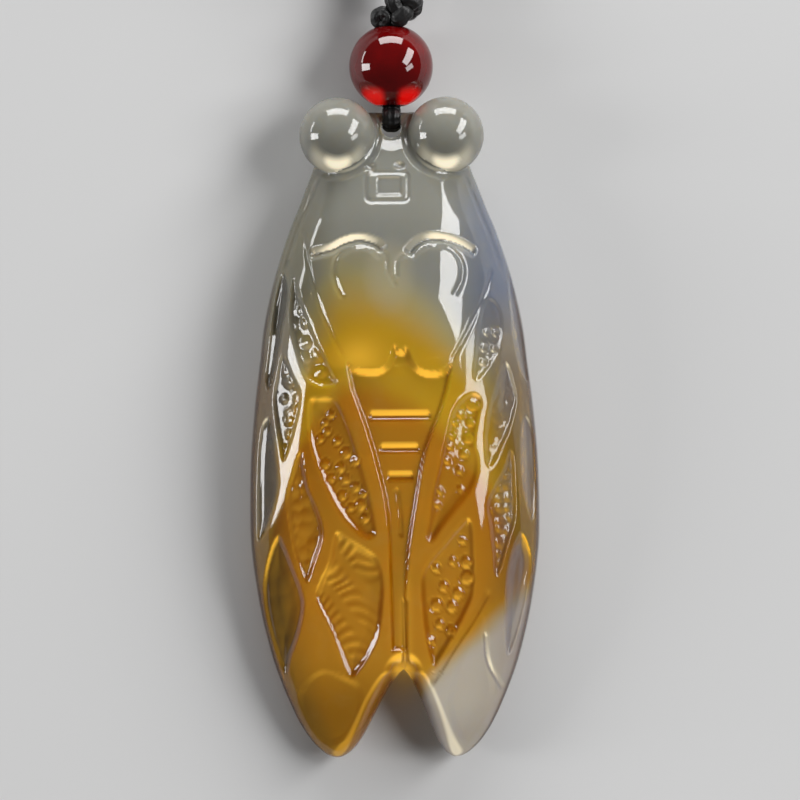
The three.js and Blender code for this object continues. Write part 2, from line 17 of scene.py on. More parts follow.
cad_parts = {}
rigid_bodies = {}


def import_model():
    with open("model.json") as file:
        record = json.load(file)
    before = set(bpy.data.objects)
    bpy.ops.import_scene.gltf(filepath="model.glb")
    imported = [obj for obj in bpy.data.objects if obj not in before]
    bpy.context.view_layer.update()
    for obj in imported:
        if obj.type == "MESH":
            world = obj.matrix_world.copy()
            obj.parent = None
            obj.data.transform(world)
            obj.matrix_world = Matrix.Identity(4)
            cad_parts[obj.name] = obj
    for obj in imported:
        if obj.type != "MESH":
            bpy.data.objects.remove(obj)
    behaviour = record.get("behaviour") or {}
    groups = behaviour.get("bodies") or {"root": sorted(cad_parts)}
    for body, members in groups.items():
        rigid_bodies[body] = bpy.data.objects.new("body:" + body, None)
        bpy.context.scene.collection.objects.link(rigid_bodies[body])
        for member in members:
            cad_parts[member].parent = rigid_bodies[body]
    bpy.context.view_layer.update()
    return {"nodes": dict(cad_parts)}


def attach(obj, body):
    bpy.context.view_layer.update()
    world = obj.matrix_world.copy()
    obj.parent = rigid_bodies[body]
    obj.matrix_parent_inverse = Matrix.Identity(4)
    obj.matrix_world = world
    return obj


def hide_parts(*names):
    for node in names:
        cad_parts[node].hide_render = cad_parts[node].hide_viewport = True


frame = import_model()
MM = 0.001
print("solids:", sorted(frame["nodes"]))

# %% [markdown]
# ## Camera
#
# A long lens keeps the pendant's proportions nearly as flat as a drawing. The camera looks straight down
# on the carved front. It is turned half a degree, because the head leans left of the tips by that much.

# %% Camera
CAMERA_ROLL = math.radians(0.48)
CAMERA_DISTANCE = 450
FRAME_WIDTH = 66.4
AIM = np.array([0.515, 2.32, 5.0])


def add_camera(aim, distance, roll, frame_width):
    """Straight above its aim a camera looks down its own -Z, and lens = sensor * distance / width."""
    data = bpy.data.cameras.new("studio_camera")
    data.lens = data.sensor_width * distance / frame_width
    data.clip_start, data.clip_end = 0.01, 20
    camera = bpy.data.objects.new("studio_camera", data)
    bpy.context.scene.collection.objects.link(camera)
    camera.location = (aim + [0, 0, distance]) * MM
    camera.rotation_euler = (0, 0, -roll)
    bpy.context.scene.camera = camera
    return data


camera_data = add_camera(AIM, CAMERA_DISTANCE, CAMERA_ROLL, FRAME_WIDTH)
print("lens:", round(camera_data.lens), "mm")

# %% [markdown]
# ## Grids of points
#
# Every shape below is a grid of points that numpy works out at once, so that a formula, and not a loop,
# makes the surface. The first helpers rise smoothly from 0 to 1 and run smooth curves through a few
# points.

# %% Ramps and curves


def ramp(value, low, high):
    """A straight rise: 0 up to low, 1 from high on."""
    return np.clip((value - low) / (high - low), 0, 1)


def smooth(value, low, high):
    """The same rise with soft ends: t * t * (3 - 2 * t), with t the ramp."""
    t = ramp(value, low, high)
    return t * t * (3 - 2 * t)


def curve(knots, values, where):
    """A cubic in each span between two knots; its slope at a knot is that of the chord past it."""
    knots, values, where = (np.asarray(numbers, float) for numbers in (knots, values, where))
    last, flat = len(knots) - 1, (1,) * (values.ndim - 1)
    before, after = np.maximum(np.arange(last + 1) - 1, 0), np.minimum(np.arange(last + 1) + 1, last)
    slopes = (values[after] - values[before]) / (knots[after] - knots[before]).reshape(-1, *flat)
    k = np.clip(np.searchsorted(knots, where), 1, last)
    span = (knots[k] - knots[k - 1]).reshape(where.shape + flat)
    t = np.clip((where - knots[k - 1]).reshape(span.shape) / span, 0, 1)
    rise = values[k] - values[k - 1]
    bend = (slopes[k - 1] * span - rise) * (1 - t) + (rise - slopes[k] * span) * t
    return values[k - 1] + rise * t + t * (1 - t) * bend


def run_of(line, power=1.0):
    """How far along a line each of its points lies, with every step raised to power."""
    steps = np.linalg.norm(np.diff(line, axis=0), axis=1) ** power
    return np.concatenate([[0], np.cumsum(steps)])


def smooth_line(points, count):
    """count points of a smooth line; its knots lie apart by the square roots of the distances."""
    knots = run_of(points, 0.5)
    return curve(knots, points, np.linspace(0, knots[-1], count))


def evenly(line, gap):
    """The same line with points every gap millimetres of its length, and that length."""
    run = run_of(line)
    wanted = np.linspace(0, run[-1], round(run[-1] / gap) + 1)
    return np.stack([np.interp(wanted, run, values) for values in line.T], 1), run[-1]


# %% [markdown]
# The next ones join a grid's points with faces and hand the result to Blender.

# %% Faces and pieces
ROOT = "root"


def grid_faces(rows, columns, around=False, along=False):
    """Quads between the points of a grid; around and along close it on itself."""
    i = np.arange(rows if along else rows - 1)[:, None]
    j = np.arange(columns if around else columns - 1)[None, :]
    below, beside = (i + 1) % rows, (j + 1) % columns
    corners = [i * columns + j, i * columns + beside, below * columns + beside, below * columns + j]
    return np.stack([np.broadcast_to(corner, (i.size, j.size)) for corner in corners], -1).reshape(-1, 4)


def as_triangles(quads):
    """Each quad a, b, c, d as the triangles a, b, c and a, c, d."""
    return np.concatenate([quads[:, [0, 1, 2]], quads[:, [0, 2, 3]]])


def weld(points, triangles, grain=1e-3):
    """Points that fall in the same grain become one, and triangles left without three corners go."""
    _, first, index = np.unique(np.round(points / grain), axis=0, return_index=True, return_inverse=True)
    triangles = index.reshape(-1)[triangles]
    a, b, c = triangles.T
    return points[first], triangles[(a != b) & (b != c) & (c != a)]


def new_piece(name, points, *faces, uv=None):
    """A smooth shaded mesh at the origin, with its place in its own points; uv has one pair a corner."""
    mesh = bpy.data.meshes.new(name)
    mesh.from_pydata((np.asarray(points) * MM).tolist(), [], sum((part.tolist() for part in faces), []))
    mesh.shade_smooth()
    if uv is not None:
        mesh.uv_layers.new(name="UVMap").data.foreach_set("uv", uv.astype(np.float32).ravel())
    piece = bpy.data.objects.new(name, mesh)
    bpy.context.scene.collection.objects.link(piece)
    return piece


# %% [markdown]
# ## The neck cord's way
#
# The neck cord is one waxed cord of 1.5 mm. It leaves the knot in two stretches that come down to the
# table, and its spare length is wound into a coil with a tie round it, as a shop would store it. The
# coil has four layers of three turns, less half a turn, because the two ends leave it on opposite
# sides. In the last ninth of each turn it steps to the next turn's radius and layer.

# %% Cord route
CORD_DIAMETER = 1.5
COIL_MIDDLE = np.array([0, 56.9, 0])
COIL_RADII = [9.75, 8.25, 6.75]
COIL_LOWEST = 1.35
COIL_LAYERS = 4
ROUTE_POINTS, CORD_STEP = 9000, 0.45
STRETCH_OUT = [
    [0.6, 36.2, 3.4], [0.85, 37.0, 3.2], [1, 37.7, 3], [1.2, 39.3, 2.7], [1.6, 40.9, 2], [2.5, 42.5, 1.2],
    [3.8, 44.1, 0.78], [5.4, 45.9, 0.8], [6.9, 47.4, 0.95], [8.17, 48.73, 1.15],
]
STRETCH_BACK = [
    [-8.17, 48.73, 5.6], [-7, 47.5, 4.8], [-5.5, 45.9, 3], [-3.7, 44.2, 1.3], [-2.2, 42.5, 1],
    [-1.2, 40.9, 1.7], [-0.9, 39.3, 2.6], [-0.7, 37.7, 3], [-0.55, 37.0, 3.2], [-0.4, 36.2, 3.4],
]


def coil_line(degrees_apart=6):
    """Angle and turn give the point: radius and height step from turn to turn in its last 40 degrees."""
    radii = np.array((COIL_RADII + COIL_RADII[::-1]) * (COIL_LAYERS // 2))
    heights = COIL_LOWEST + CORD_DIAMETER * np.repeat(np.arange(COIL_LAYERS), len(COIL_RADII))
    degrees = np.arange(0, 360 * (len(radii) - 0.5) + 1, degrees_apart)
    turn = np.minimum(degrees // 360, len(radii) - 1).astype(int)
    after = np.minimum(turn + 1, len(radii) - 1)
    step = smooth(degrees % 360, 320, 360)
    radius = radii[turn] + (radii[after] - radii[turn]) * step
    height = heights[turn] + (heights[after] - heights[turn]) * step
    angle = np.radians(degrees)
    return COIL_MIDDLE + np.stack([radius * np.cos(angle), radius * np.sin(angle), height], axis=1)


neck_route = np.concatenate([STRETCH_OUT, coil_line(), STRETCH_BACK])
neck_line, neck_length = evenly(smooth_line(neck_route, ROUTE_POINTS), CORD_STEP)
print("neck cord:", round(neck_length), "mm long,", len(neck_line), "points")

# %% [markdown]
# ## Tubes
#
# A cord is a ring carried along its line. Each ring needs two directions across the line. One is found
# with a cross product from a hint that is never parallel to the line, such as straight up for a cord
# that lies on a table, and the other with a second cross product. The two ends close on a middle point.
# The way round the tube and the length along it make the UV, in which the finish draws the braid.

# %% Tube surface


def tube(line, hint, wide, thick, sides=12, relief=None, closed=False):
    """Point = line + wide * cos(a) * across + thick * sin(a) * over, times 1 + relief(a, length)."""
    ahead = np.roll(line, -1, axis=0) - np.roll(line, 1, axis=0)
    if not closed:
        ahead[0], ahead[-1] = line[1] - line[0], line[-1] - line[-2]
    ahead /= np.linalg.norm(ahead, axis=1, keepdims=True)
    across = np.cross(ahead, np.broadcast_to(hint, line.shape))
    across /= np.linalg.norm(across, axis=1, keepdims=True)
    over = np.cross(ahead, across)
    run = run_of(line)
    angle = np.linspace(0, 2 * np.pi, sides, endpoint=False)[None, :]
    grown = 1 + (relief(angle, run[:, None]) if relief else np.zeros((len(line), sides)))
    points = (
        line[:, None, :]
        + (wide * np.cos(angle) * grown)[..., None] * across[:, None, :]
        + (thick * np.sin(angle) * grown)[..., None] * over[:, None, :]
    ).reshape(-1, 3)
    faces = grid_faces(len(line), sides, around=True, along=closed)
    uv = np.stack(np.broadcast_arrays(angle / (2 * np.pi), run[:, None]), -1).reshape(-1, 2)
    if closed:
        return points, [faces], uv
    ring = np.arange(sides)
    start, end, last = len(points), len(points) + 1, (len(line) - 1) * sides
    fans = np.concatenate([
        np.stack([np.roll(ring, -1), ring, np.full(sides, start)], 1),
        np.stack([last + ring, last + np.roll(ring, -1), np.full(sides, end)], 1),
    ])
    uv = np.concatenate([uv, [[0.5, 0], [0.5, run[-1]]]])
    return np.concatenate([points, [line[0], line[-1]]]), [faces, fans], uv


def unrolled(faces, uv):
    """The uv of every face's corners; where a face crosses the seam it goes on past 1, not back to 0."""
    corners = uv[faces]
    around = corners[..., :1]
    return (corners + (around.max(1, keepdims=True) - around > 0.5) * [1, 0]).reshape(-1, 2)


def tube_piece(name, points, faces, uv):
    """What tube returns, as a piece with its uv."""
    return new_piece(name, points, *faces, uv=np.concatenate([unrolled(part, uv) for part in faces]))


# %% [markdown]
# ## The coil's tie
#
# Six turns of thin waxed thread hold the coil together at its far side. Seen in section each turn is a
# small ridge, so the band is a grid: one way round the bundle, a rounded rectangle, and the other way
# across the ridges and back along the smooth inside.

# %% Coil tie
TIE_LOW, TIE_HIGH = np.array([62.3, 0]), np.array([68, 7.2])  # Y and Z
TIE_HALF_WIDTH, TIE_THICKNESS = 1.2, 0.3
TIE_TURNS = 6


def tie_surface(corner=6, around=96):
    """A superellipse of power corner, less thickness * (1 - ridge); ridge = |cos| ** 0.5 over a turn."""
    a = np.linspace(0, 2 * np.pi, around, endpoint=False)
    circle = np.stack([np.cos(a), np.sin(a)], 1)
    unit = np.sign(circle) * np.abs(circle) ** (2 / corner)
    middle, half = (TIE_LOW + TIE_HIGH) / 2, (TIE_HIGH - TIE_LOW) / 2
    across = np.linspace(-1, 1, 61)
    ridge = np.abs(np.cos(np.pi * (across + 1) / 2 * TIE_TURNS + np.pi / 2)) ** 0.5
    sunk = TIE_THICKNESS * np.concatenate([0.75 * (1 - ridge), np.ones(9)])
    sideways = np.concatenate([across, np.linspace(0.98, -0.98, 9)]) * TIE_HALF_WIDTH
    flat = middle + unit[:, None, :] * (half - sunk[:, None])
    points = np.concatenate([np.broadcast_to(sideways[:, None], flat.shape[:2] + (1,)), flat], -1)
    faces = grid_faces(around, len(sideways), around=True, along=True)[:, ::-1]
    run = np.linspace(0, 4 * half.sum(), around, endpoint=False)[:, None]
    uv = np.stack(np.broadcast_arrays(sideways * TIE_TURNS / 4, run), -1).reshape(-1, 2)
    return points.reshape(-1, 3), faces, uv[faces].reshape(-1, 2)


tie_points, tie_faces, tie_uv = tie_surface()
coil_tie = new_piece("thread_tie", tie_points, tie_faces, uv=tie_uv)
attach(coil_tie, ROOT)
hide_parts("coil_tie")
print("tie:", len(coil_tie.data.polygons), "faces")

# %% Neck cord
UP = np.array([0, 0, 1.0])
neck_cord = tube_piece("long_cord", *tube(neck_line, UP, CORD_DIAMETER / 2, CORD_DIAMETER / 2))
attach(neck_cord, ROOT)
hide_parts("neck_cord_out", "neck_cord_coil", "neck_cord_back")
print("neck cord:", len(neck_cord.data.polygons), "faces")

# %% [markdown]
# ## The loop through the head
#
# The cord goes through the hole in the head doubled, and both strands run up through the bead into the
# knot. Waxed braid pressed into a bore is wider than it is thick, so its ring is an ellipse. A pattern
# of two crossing waves along and around the tube stands for the braid.

# %% Hanging loop
LOOP_YZ = [
    [34.5, 3.93], [33.3, 3.93], [30.1, 3.93], [27.6, 3.93], [26.9, 3.93], [26.4, 4.2], [25.95, 4.65],
    [25.3, 4.4], [25.05, 3.6], [25.05, 2.8], [25.3, 2.05], [25.95, 1.85], [26.35, 2.35], [26.85, 3.04],
    [27.6, 3.07], [30.1, 3.07], [33.3, 3.07], [34.5, 3.07],
]
SIDEWAYS = np.array([1.0, 0, 0])
LOOP_HALF_THICKNESS, LOOP_HALF_WIDTH, LOOP_STEP = 0.38, 0.72, 0.09


def braid(angle, run, waves=3, pitch=1.1, height=0.09):
    """height * sin(waves * a + 2 pi run / pitch) * sin(waves * a - 2 pi run / pitch)."""
    along = 2 * np.pi * run / pitch
    return height * np.sin(waves * angle + along) * np.sin(waves * angle - along)


loop_points = np.insert(np.array(LOOP_YZ), 0, 0.0, axis=1)
loop_line, loop_length = evenly(smooth_line(loop_points, 800), LOOP_STEP)
loop_tube = tube(loop_line, SIDEWAYS, LOOP_HALF_THICKNESS, LOOP_HALF_WIDTH, 24, braid)
hanging_loop = tube_piece("doubled_cord", *loop_tube)
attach(hanging_loop, ROOT)
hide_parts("hanging_loop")
print("hanging loop:", round(loop_length, 1), "mm of cord")

# %% [markdown]
# ## The knot
#
# Pulled tight, a knot's turns press into each other. The large lobe is a trefoil, the simplest closed
# knot, drawn with sines and pressed into a small box, so its tube touches itself as a tight knot does.
# One more turn beside it is the small lobe on the left. Both are wound from the braid of the loop.

# %% Cord knot
LARGE_LOBE = dict(
    count=240, centre=[0.95, 35.1, 3.85], size=[0.82, 1.12, 0.74], radius=0.8, lean=-28, hint=[0.3, 0.2, 1],
)
SMALL_LOBE = dict(
    count=60, centre=[-0.72, 34.1, 4.15], size=[0.42, 0.4, 0.4], radius=0.58, lean=0, hint=[0, 0, 1],
)


def trefoil(t):
    """(sin t + 2 sin 2t, cos t - 2 cos 2t, -sin 3t), each divided by about its greatest value."""
    x, y = np.sin(t) + 2 * np.sin(2 * t), np.cos(t) - 2 * np.cos(2 * t)
    return np.stack([x / 2.76, y / 3, -np.sin(3 * t)], 1)


def bent_ring(t):
    """A circle that rises and falls once on its way round."""
    return np.stack([np.cos(t), np.sin(t), 0.6 * np.sin(t + 0.6)], 1)


def knot_lobe(form, count, centre, size, radius, lean, hint):
    """The braid along form(t), scaled to size and turned by lean degrees about Z."""
    cos, sin = math.cos(math.radians(lean)), math.sin(math.radians(lean))
    turn = np.array([[cos, sin, 0], [-sin, cos, 0], [0, 0, 1]])
    t = np.linspace(0, 2 * np.pi, count, endpoint=False)
    return tube(form(t) * size @ turn + centre, hint, radius, radius, 20, braid, closed=True)


large, small = knot_lobe(trefoil, **LARGE_LOBE), knot_lobe(bent_ring, **SMALL_LOBE)
knot_points = np.concatenate([large[0], small[0]])
knot_faces = [*large[1], *(part + len(large[0]) for part in small[1])]
cord_knot = tube_piece("braid_knot", knot_points, knot_faces, np.concatenate([large[2], small[2]]))
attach(cord_knot, ROOT)
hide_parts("cord_knot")
print("knot box in mm:", knot_points.min(0).round(2), knot_points.max(0).round(2))

# %% [markdown]
# ## The bead
#
# A bead is turned and drilled, so it is a surface of revolution: one closed profile, the outer arc, a
# small chamfer at each mouth and the bore's wall, carried round the bore's axis.

# %% Bead
BEAD_MIDDLE = np.array([0, 30.1, 3.5])
BEAD_RADIUS = 3.5
BEAD_BORE = 1.084
CHAMFER_WIDTH, CHAMFER_DEPTH = 0.12, 0.1


def bead_surface(arc_points=56, around=96):
    """Profile (r, y): R sin p, R cos p from mouth to mouth, then back along the bore at its radius."""
    mouth = math.asin((BEAD_BORE + CHAMFER_WIDTH) / BEAD_RADIUS)
    p = np.linspace(mouth, np.pi - mouth, arc_points)
    wall = np.linspace(-1, 1, 12) * (BEAD_RADIUS * math.cos(mouth) - CHAMFER_DEPTH)
    radius = np.concatenate([BEAD_RADIUS * np.sin(p), np.full(len(wall), BEAD_BORE)])
    height = np.concatenate([BEAD_RADIUS * np.cos(p), wall])
    angle = np.linspace(0, 2 * np.pi, around, endpoint=False)[:, None]
    points = np.stack([radius * np.cos(angle), height + 0 * angle, radius * np.sin(angle)], -1)
    faces = grid_faces(around, len(radius), around=True, along=True)[:, ::-1]
    return BEAD_MIDDLE + points.reshape(-1, 3), faces


bead = new_piece("carnelian_bead", *bead_surface())
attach(bead, ROOT)
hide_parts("bead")
print("bead:", len(bead.data.polygons), "faces")

# %% [markdown]
# ## The cicada's form
#
# A carver first saws the outline, then rounds the block from its rim to a ridge down the middle, and
# cuts the detail last. The same three steps are made here. Stations down the body give the half width,
# the height of the rim, and the heights of front and back on the middle line.

# %% Outline and heights
HEAD_TOP = 26.3
NOTCH = [0.65, -20.2]
TIP = [4.95, -27.5]
HEAD_ROUNDING, NOTCH_ROUNDING = 1.6, 1.7
HALF_WIDTH = [
    [26.3, 2.6], [25, 4.4], [23, 5.9], [21, 6.8], [18.3, 7.85], [16.5, 8.6], [14.2, 9.4], [11.8, 10.1],
    [8.6, 10.8], [5.4, 11.2], [2.2, 11.6], [-2.5, 12], [-6.8, 12.1], [-10.1, 12], [-14.5, 11.4],
    [-17.3, 10.8], [-20.1, 10], [-23.6, 8.6], [-27.5, 6.8],
]
RIM_HEIGHT = [[26.3, 3], [20, 2.7], [8, 2.3], [-8, 2.2], [-20, 2], [-27.5, 1.8]]
FRONT_HEIGHT = [
    [26.3, 4.6], [24, 5.5], [21, 7], [17, 8.75], [12, 9.7], [7, 9.9], [0, 9.6], [-8, 8.7], [-16, 7.2],
    [-22, 5.7], [-27.5, 4.2],
]
BACK_HEIGHT = [
    [26.3, 2.1], [23, 1.3], [19, 0.4], [14, -0.1], [2, -0.35], [-10, -0.15], [-18, 0.3], [-27.5, 0.9],
]


def at(stations, y):
    """The smooth curve through stations, which are listed from head to tips."""
    table = np.array(stations)[::-1]
    return curve(table[:, 0], table[:, 1], y)


def rounded(inwards, radius):
    """sqrt(1 - (1 - d / r) ** 2): a quarter circle that is level from the radius on."""
    return np.sqrt(np.clip(1 - (1 - np.clip(inwards / radius, 0, 1)) ** 2, 0, 1))


def edges(y, side):
    """Inner and outer edge of one side; down runs from 0 at the notch to 1 at the tip, where they meet."""
    down = np.clip((NOTCH[1] - y) / (NOTCH[1] - TIP[1]), 0, 1)
    seam = NOTCH[0] * smooth(-y, 0, -NOTCH[1])
    outer = side * (TIP[0] + (at(HALF_WIDTH, y) - TIP[0]) * np.sqrt(1 - down**6))
    part = 0.72 * down**0.75 + 0.28 * (1 - np.sqrt(1 - down**6))
    return np.where(down > 0, NOTCH[0] + (side * TIP[0] - NOTCH[0]) * part, seam), outer, down


def arch(x, y, inner, outer, down):
    """1 on the middle line and 0 on the outline: (1 - u ** 2.2) ** 0.56, rounded at head and notch."""
    u = np.clip(np.abs(x / outer), 0, 1)
    from_notch = np.where(down > 0, np.abs(x - inner), np.hypot(x - NOTCH[0], y - NOTCH[1]))
    ends = rounded(HEAD_TOP - y, HEAD_ROUNDING) * rounded(from_notch, NOTCH_ROUNDING)
    made = (1 - u**2.2) ** 0.56 * ends
    return np.where(made < 2e-3, 0, made)


# %% [markdown]
# ## Cutting tools
#
# All carving is a depth below that form. Two measures are enough for every cut: how far a point lies
# inside a closed outline, and how far from a line, with the side of the line as its sign.

# %% Measures for carving


def near_sides(points, line):
    """Distance to the nearest span of a line, its side (left +), and how far along the line, 0 to 1."""
    a, b = line[:-1], line[1:]
    span = b - a
    away = points[:, None, :] - a[None]
    share = np.clip((away * span).sum(-1) / np.maximum((span**2).sum(-1), 1e-12), 0, 1)
    gap = np.linalg.norm(away - share[..., None] * span, axis=-1)
    nearest = gap.argmin(1)
    pick = np.arange(len(points))
    side = span[nearest, 0] * away[pick, nearest, 1] - span[nearest, 1] * away[pick, nearest, 0]
    run = run_of(line)
    where = run[nearest] + share[pick, nearest] * np.diff(run)[nearest]
    return gap[pick, nearest], np.where(side >= 0, 1, -1), where / run[-1]


def close_to(x, y, line, margin):
    """Whether each point lies in the box of a line, or less than margin outside it."""
    low, high = line.min(0) - margin, line.max(0) + margin
    return (x > low[0]) & (x < high[0]) & (y > low[1]) & (y < high[1])


def inside(x, y, outline, margin=1.2):
    """How deep inside a closed outline each point lies; outside it is negative, -margin far away."""
    outline = np.asarray(outline, float)
    ring = np.concatenate([outline, outline[:1]])
    depth = np.full(x.shape, -float(margin))
    near = close_to(x, y, ring, margin)
    points = np.stack([x[near], y[near]], 1)
    a, b = ring[:-1], ring[1:]
    crosses = (a[:, 1] > points[:, 1:]) != (b[:, 1] > points[:, 1:])
    rise = np.where(b[:, 1] == a[:, 1], 1e-12, b[:, 1] - a[:, 1])
    beyond = points[:, :1] < (b[:, 0] - a[:, 0]) * (points[:, 1:] - a[:, 1]) / rise + a[:, 0]
    within = (crosses & beyond).sum(1) % 2 == 1
    depth[near] = near_sides(points, ring)[0] * np.where(within, 1, -1)
    return depth


def beside(x, y, knots, margin=1.6, count=40):
    """Signed distance from a smooth line, the left of its direction positive, and the share along it."""
    line = smooth_line(knots, count)
    gap, share = np.full(x.shape, float(margin)), np.full(x.shape, 0.5)
    near = close_to(x, y, line, margin)
    distance, side, where = near_sides(np.stack([x[near], y[near]], 1), line)
    gap[near], share[near] = distance * side, where
    return gap, share


def groove(gap, deep, left, right):
    """A cut with its bottom on the line and a wall of its own width on each side."""
    share = np.clip(np.abs(gap) / np.where(gap > 0, left, right), 0, 1)
    return deep * (1 - share) ** 1.15


# %% [markdown]
# ## The carved front
#
# Each cell of the folded wings is a closed smooth line through a few points, with the finish of its
# floor. Left and right aren't mirror images, because the pendant is cut by hand.

# %% Cells of the wings
# Outline and finish; for pebbles also their pitch and height, and how much the floor leans
LEFT_CELLS = [
    ([[-9.2, 12.9], [-9.9, 10.2], [-10.45, 5.9], [-10.65, 3.9], [-10.35, 3.1], [-10.05, 3.6], [-9.5, 5.9],
      [-8.95, 8.7], [-8.6, 11], [-8.8, 12.6]], "gouged"),
    ([[-8.2, 12.4], [-8.5, 9.2], [-8.15, 7], [-7.5, 4.8], [-6.85, 3.9], [-5.9, 3.5], [-4.7, 3.75],
      [-5.1, 4.8], [-6.05, 6.7], [-6.8, 8.5], [-7.4, 10.1], [-7.9, 11.6]], "pebbles", 1.35, 0.17),
    ([[-9.25, 6.1], [-9.7, 4.2], [-9.95, 2.6], [-9.8, 0.8], [-9.5, -1.1], [-9.15, -2.65], [-8.65, -1.6],
      [-8.1, 0.2], [-7.7, 2], [-7.7, 3.2], [-8.25, 4.3], [-8.8, 5.5]], "pebbles", 1.05, 0.17),
    ([[-10.45, 1], [-10.95, 0.4], [-11.3, -2.1], [-11.45, -5.7], [-11.45, -8.8], [-11.3, -9.4], [-10.45, -8],
      [-9.7, -5.6], [-9.55, -4.1], [-9.85, -1.3], [-10.1, 0.6]], "gouged"),
    ([[-7.8, -2], [-8.5, -4], [-8.9, -5.9], [-8.65, -8.1], [-8.1, -10.8], [-7.3, -12.6], [-6.65, -11],
      [-6.15, -9.6], [-5.95, -8.4], [-6.4, -6.7], [-7.15, -4.9], [-7.55, -3]], "pebbles", 1.1, 0.07, 0.18),
    ([[-6.9, 2.4], [-6, 2.55], [-5.1, 2.5], [-4.5, 2], [-3.55, -0.3], [-2.65, -3.3], [-1.85, -6.5],
      [-1.55, -8.5], [-1.75, -8.9], [-2.5, -9], [-4.1, -7.4], [-5.5, -4.9], [-6.65, -1.9], [-7, 0.25]],
     "studs"),
    ([[-9.7, -8.9], [-10.35, -10.2], [-10.9, -12.5], [-10.9, -14.5], [-10.35, -17.3], [-9.25, -20.3],
      [-8.75, -18.9], [-8.05, -17], [-7.6, -14.9], [-7.75, -13.5], [-8.35, -11.8], [-9.25, -9.5]],
     "pebbles", 1.4, 0.015, 0.03),
    ([[-4.75, -8.55], [-5, -9.1], [-5.45, -11], [-6.2, -12.6], [-6.6, -13.8], [-6.3, -14.7], [-5.65, -16],
      [-4.9, -17.8], [-4.2, -19.8], [-3.65, -20.6], [-2.95, -19.9], [-2.1, -18.6], [-1.4, -17],
      [-1.05, -14.7], [-1, -12.4], [-1.45, -10.8], [-2.5, -9.95], [-3.65, -9.2]], "waves"),
    ([[-6.05, -20], [-7.45, -20.95], [-8.15, -22.3], [-7.9, -24], [-6.9, -25.6], [-5.6, -26.3], [-4.2, -25.8],
      [-3.35, -24.6], [-2.8, -22.8], [-3, -21.3], [-4.4, -20.5]], "shallow"),
]
RIGHT_CELLS = [
    ([[9.6, 13], [9.7, 9.7], [9.95, 7.3], [10.4, 5.1], [11.1, 3.7], [11.15, 4.4], [10.75, 7.6], [10.15, 10.6],
      [9.8, 12.5]], "gouged"),
    ([[7.4, 10.2], [7, 8.1], [6.75, 6], [6.55, 4.2], [6.9, 3.9], [7.35, 4.3], [8.1, 5.3], [8.6, 6.15],
      [9, 7.5], [9.05, 9.3], [8.6, 10.3], [8, 10.7]], "faint"),
    ([[9.2, 5.4], [8.75, 4.3], [8.3, 3], [7.75, 1.1], [7.5, -1.1], [7.7, -3.2], [8.25, -2.9], [8.9, -1.6],
      [9.6, -0.1], [10.2, 2.2], [10, 3.5], [9.6, 5]], "pebbles", 1.3, 0.08),
    ([[10.85, 1], [10.5, -0.3], [10.45, -2.7], [10.6, -4.8], [11.05, -6.9], [11.45, -7.9], [11.7, -6.8],
      [11.75, -3.5], [11.6, -0.7], [11.25, 0.6]], "gouged"),
    ([[9.65, -1.95], [9.05, -3.5], [8.25, -4.9], [7.65, -6.3], [7.85, -8.1], [8.1, -10.1], [8.3, -12.2],
      [8.75, -11.5], [9.3, -9.6], [9.95, -7.4], [9.95, -4.4], [9.85, -2.5]], "pebbles", 0.9, 0.17),
    ([[6.65, 2.8], [5.8, 2.5], [4.95, 1.5], [4.4, -0.4], [3.8, -2.8], [3.25, -5], [2.95, -7.1], [2.65, -9],
      [3.1, -9.3], [3.9, -8.2], [5.1, -6.7], [6.3, -5.2], [6.9, -3.6], [6.85, -2.3], [6.6, -1.5], [6.7, -0.4],
      [7.05, 1.4], [7.2, 2.4]], "studs"),
    ([[10.45, -8.85], [9.75, -10.2], [9.3, -12.1], [9.1, -14.8], [9.1, -17], [9.3, -18.9], [9.75, -18.2],
      [10.35, -16.3], [10.85, -14.2], [11.3, -11.1], [10.95, -9.5]], "gouged"),
    ([[6, -7.55], [5, -8.5], [4, -9.7], [3.05, -10.75], [2.25, -12.1], [2.15, -13.5], [2.35, -16],
      [2.75, -18.5], [3.15, -19.7], [3.6, -19.2], [4.85, -17.1], [6.05, -14.8], [6.5, -13.4], [6.5, -10.3],
      [6.35, -8]], "studs"),
    ([[7.2, -15.6], [5.65, -18.2], [4.55, -21.1], [4.35, -23.2], [5, -25.3], [5.65, -25.9], [6.8, -24.1],
      [8.1, -22.1], [7.9, -19.9], [7.5, -17.4]], "shallow"),
]
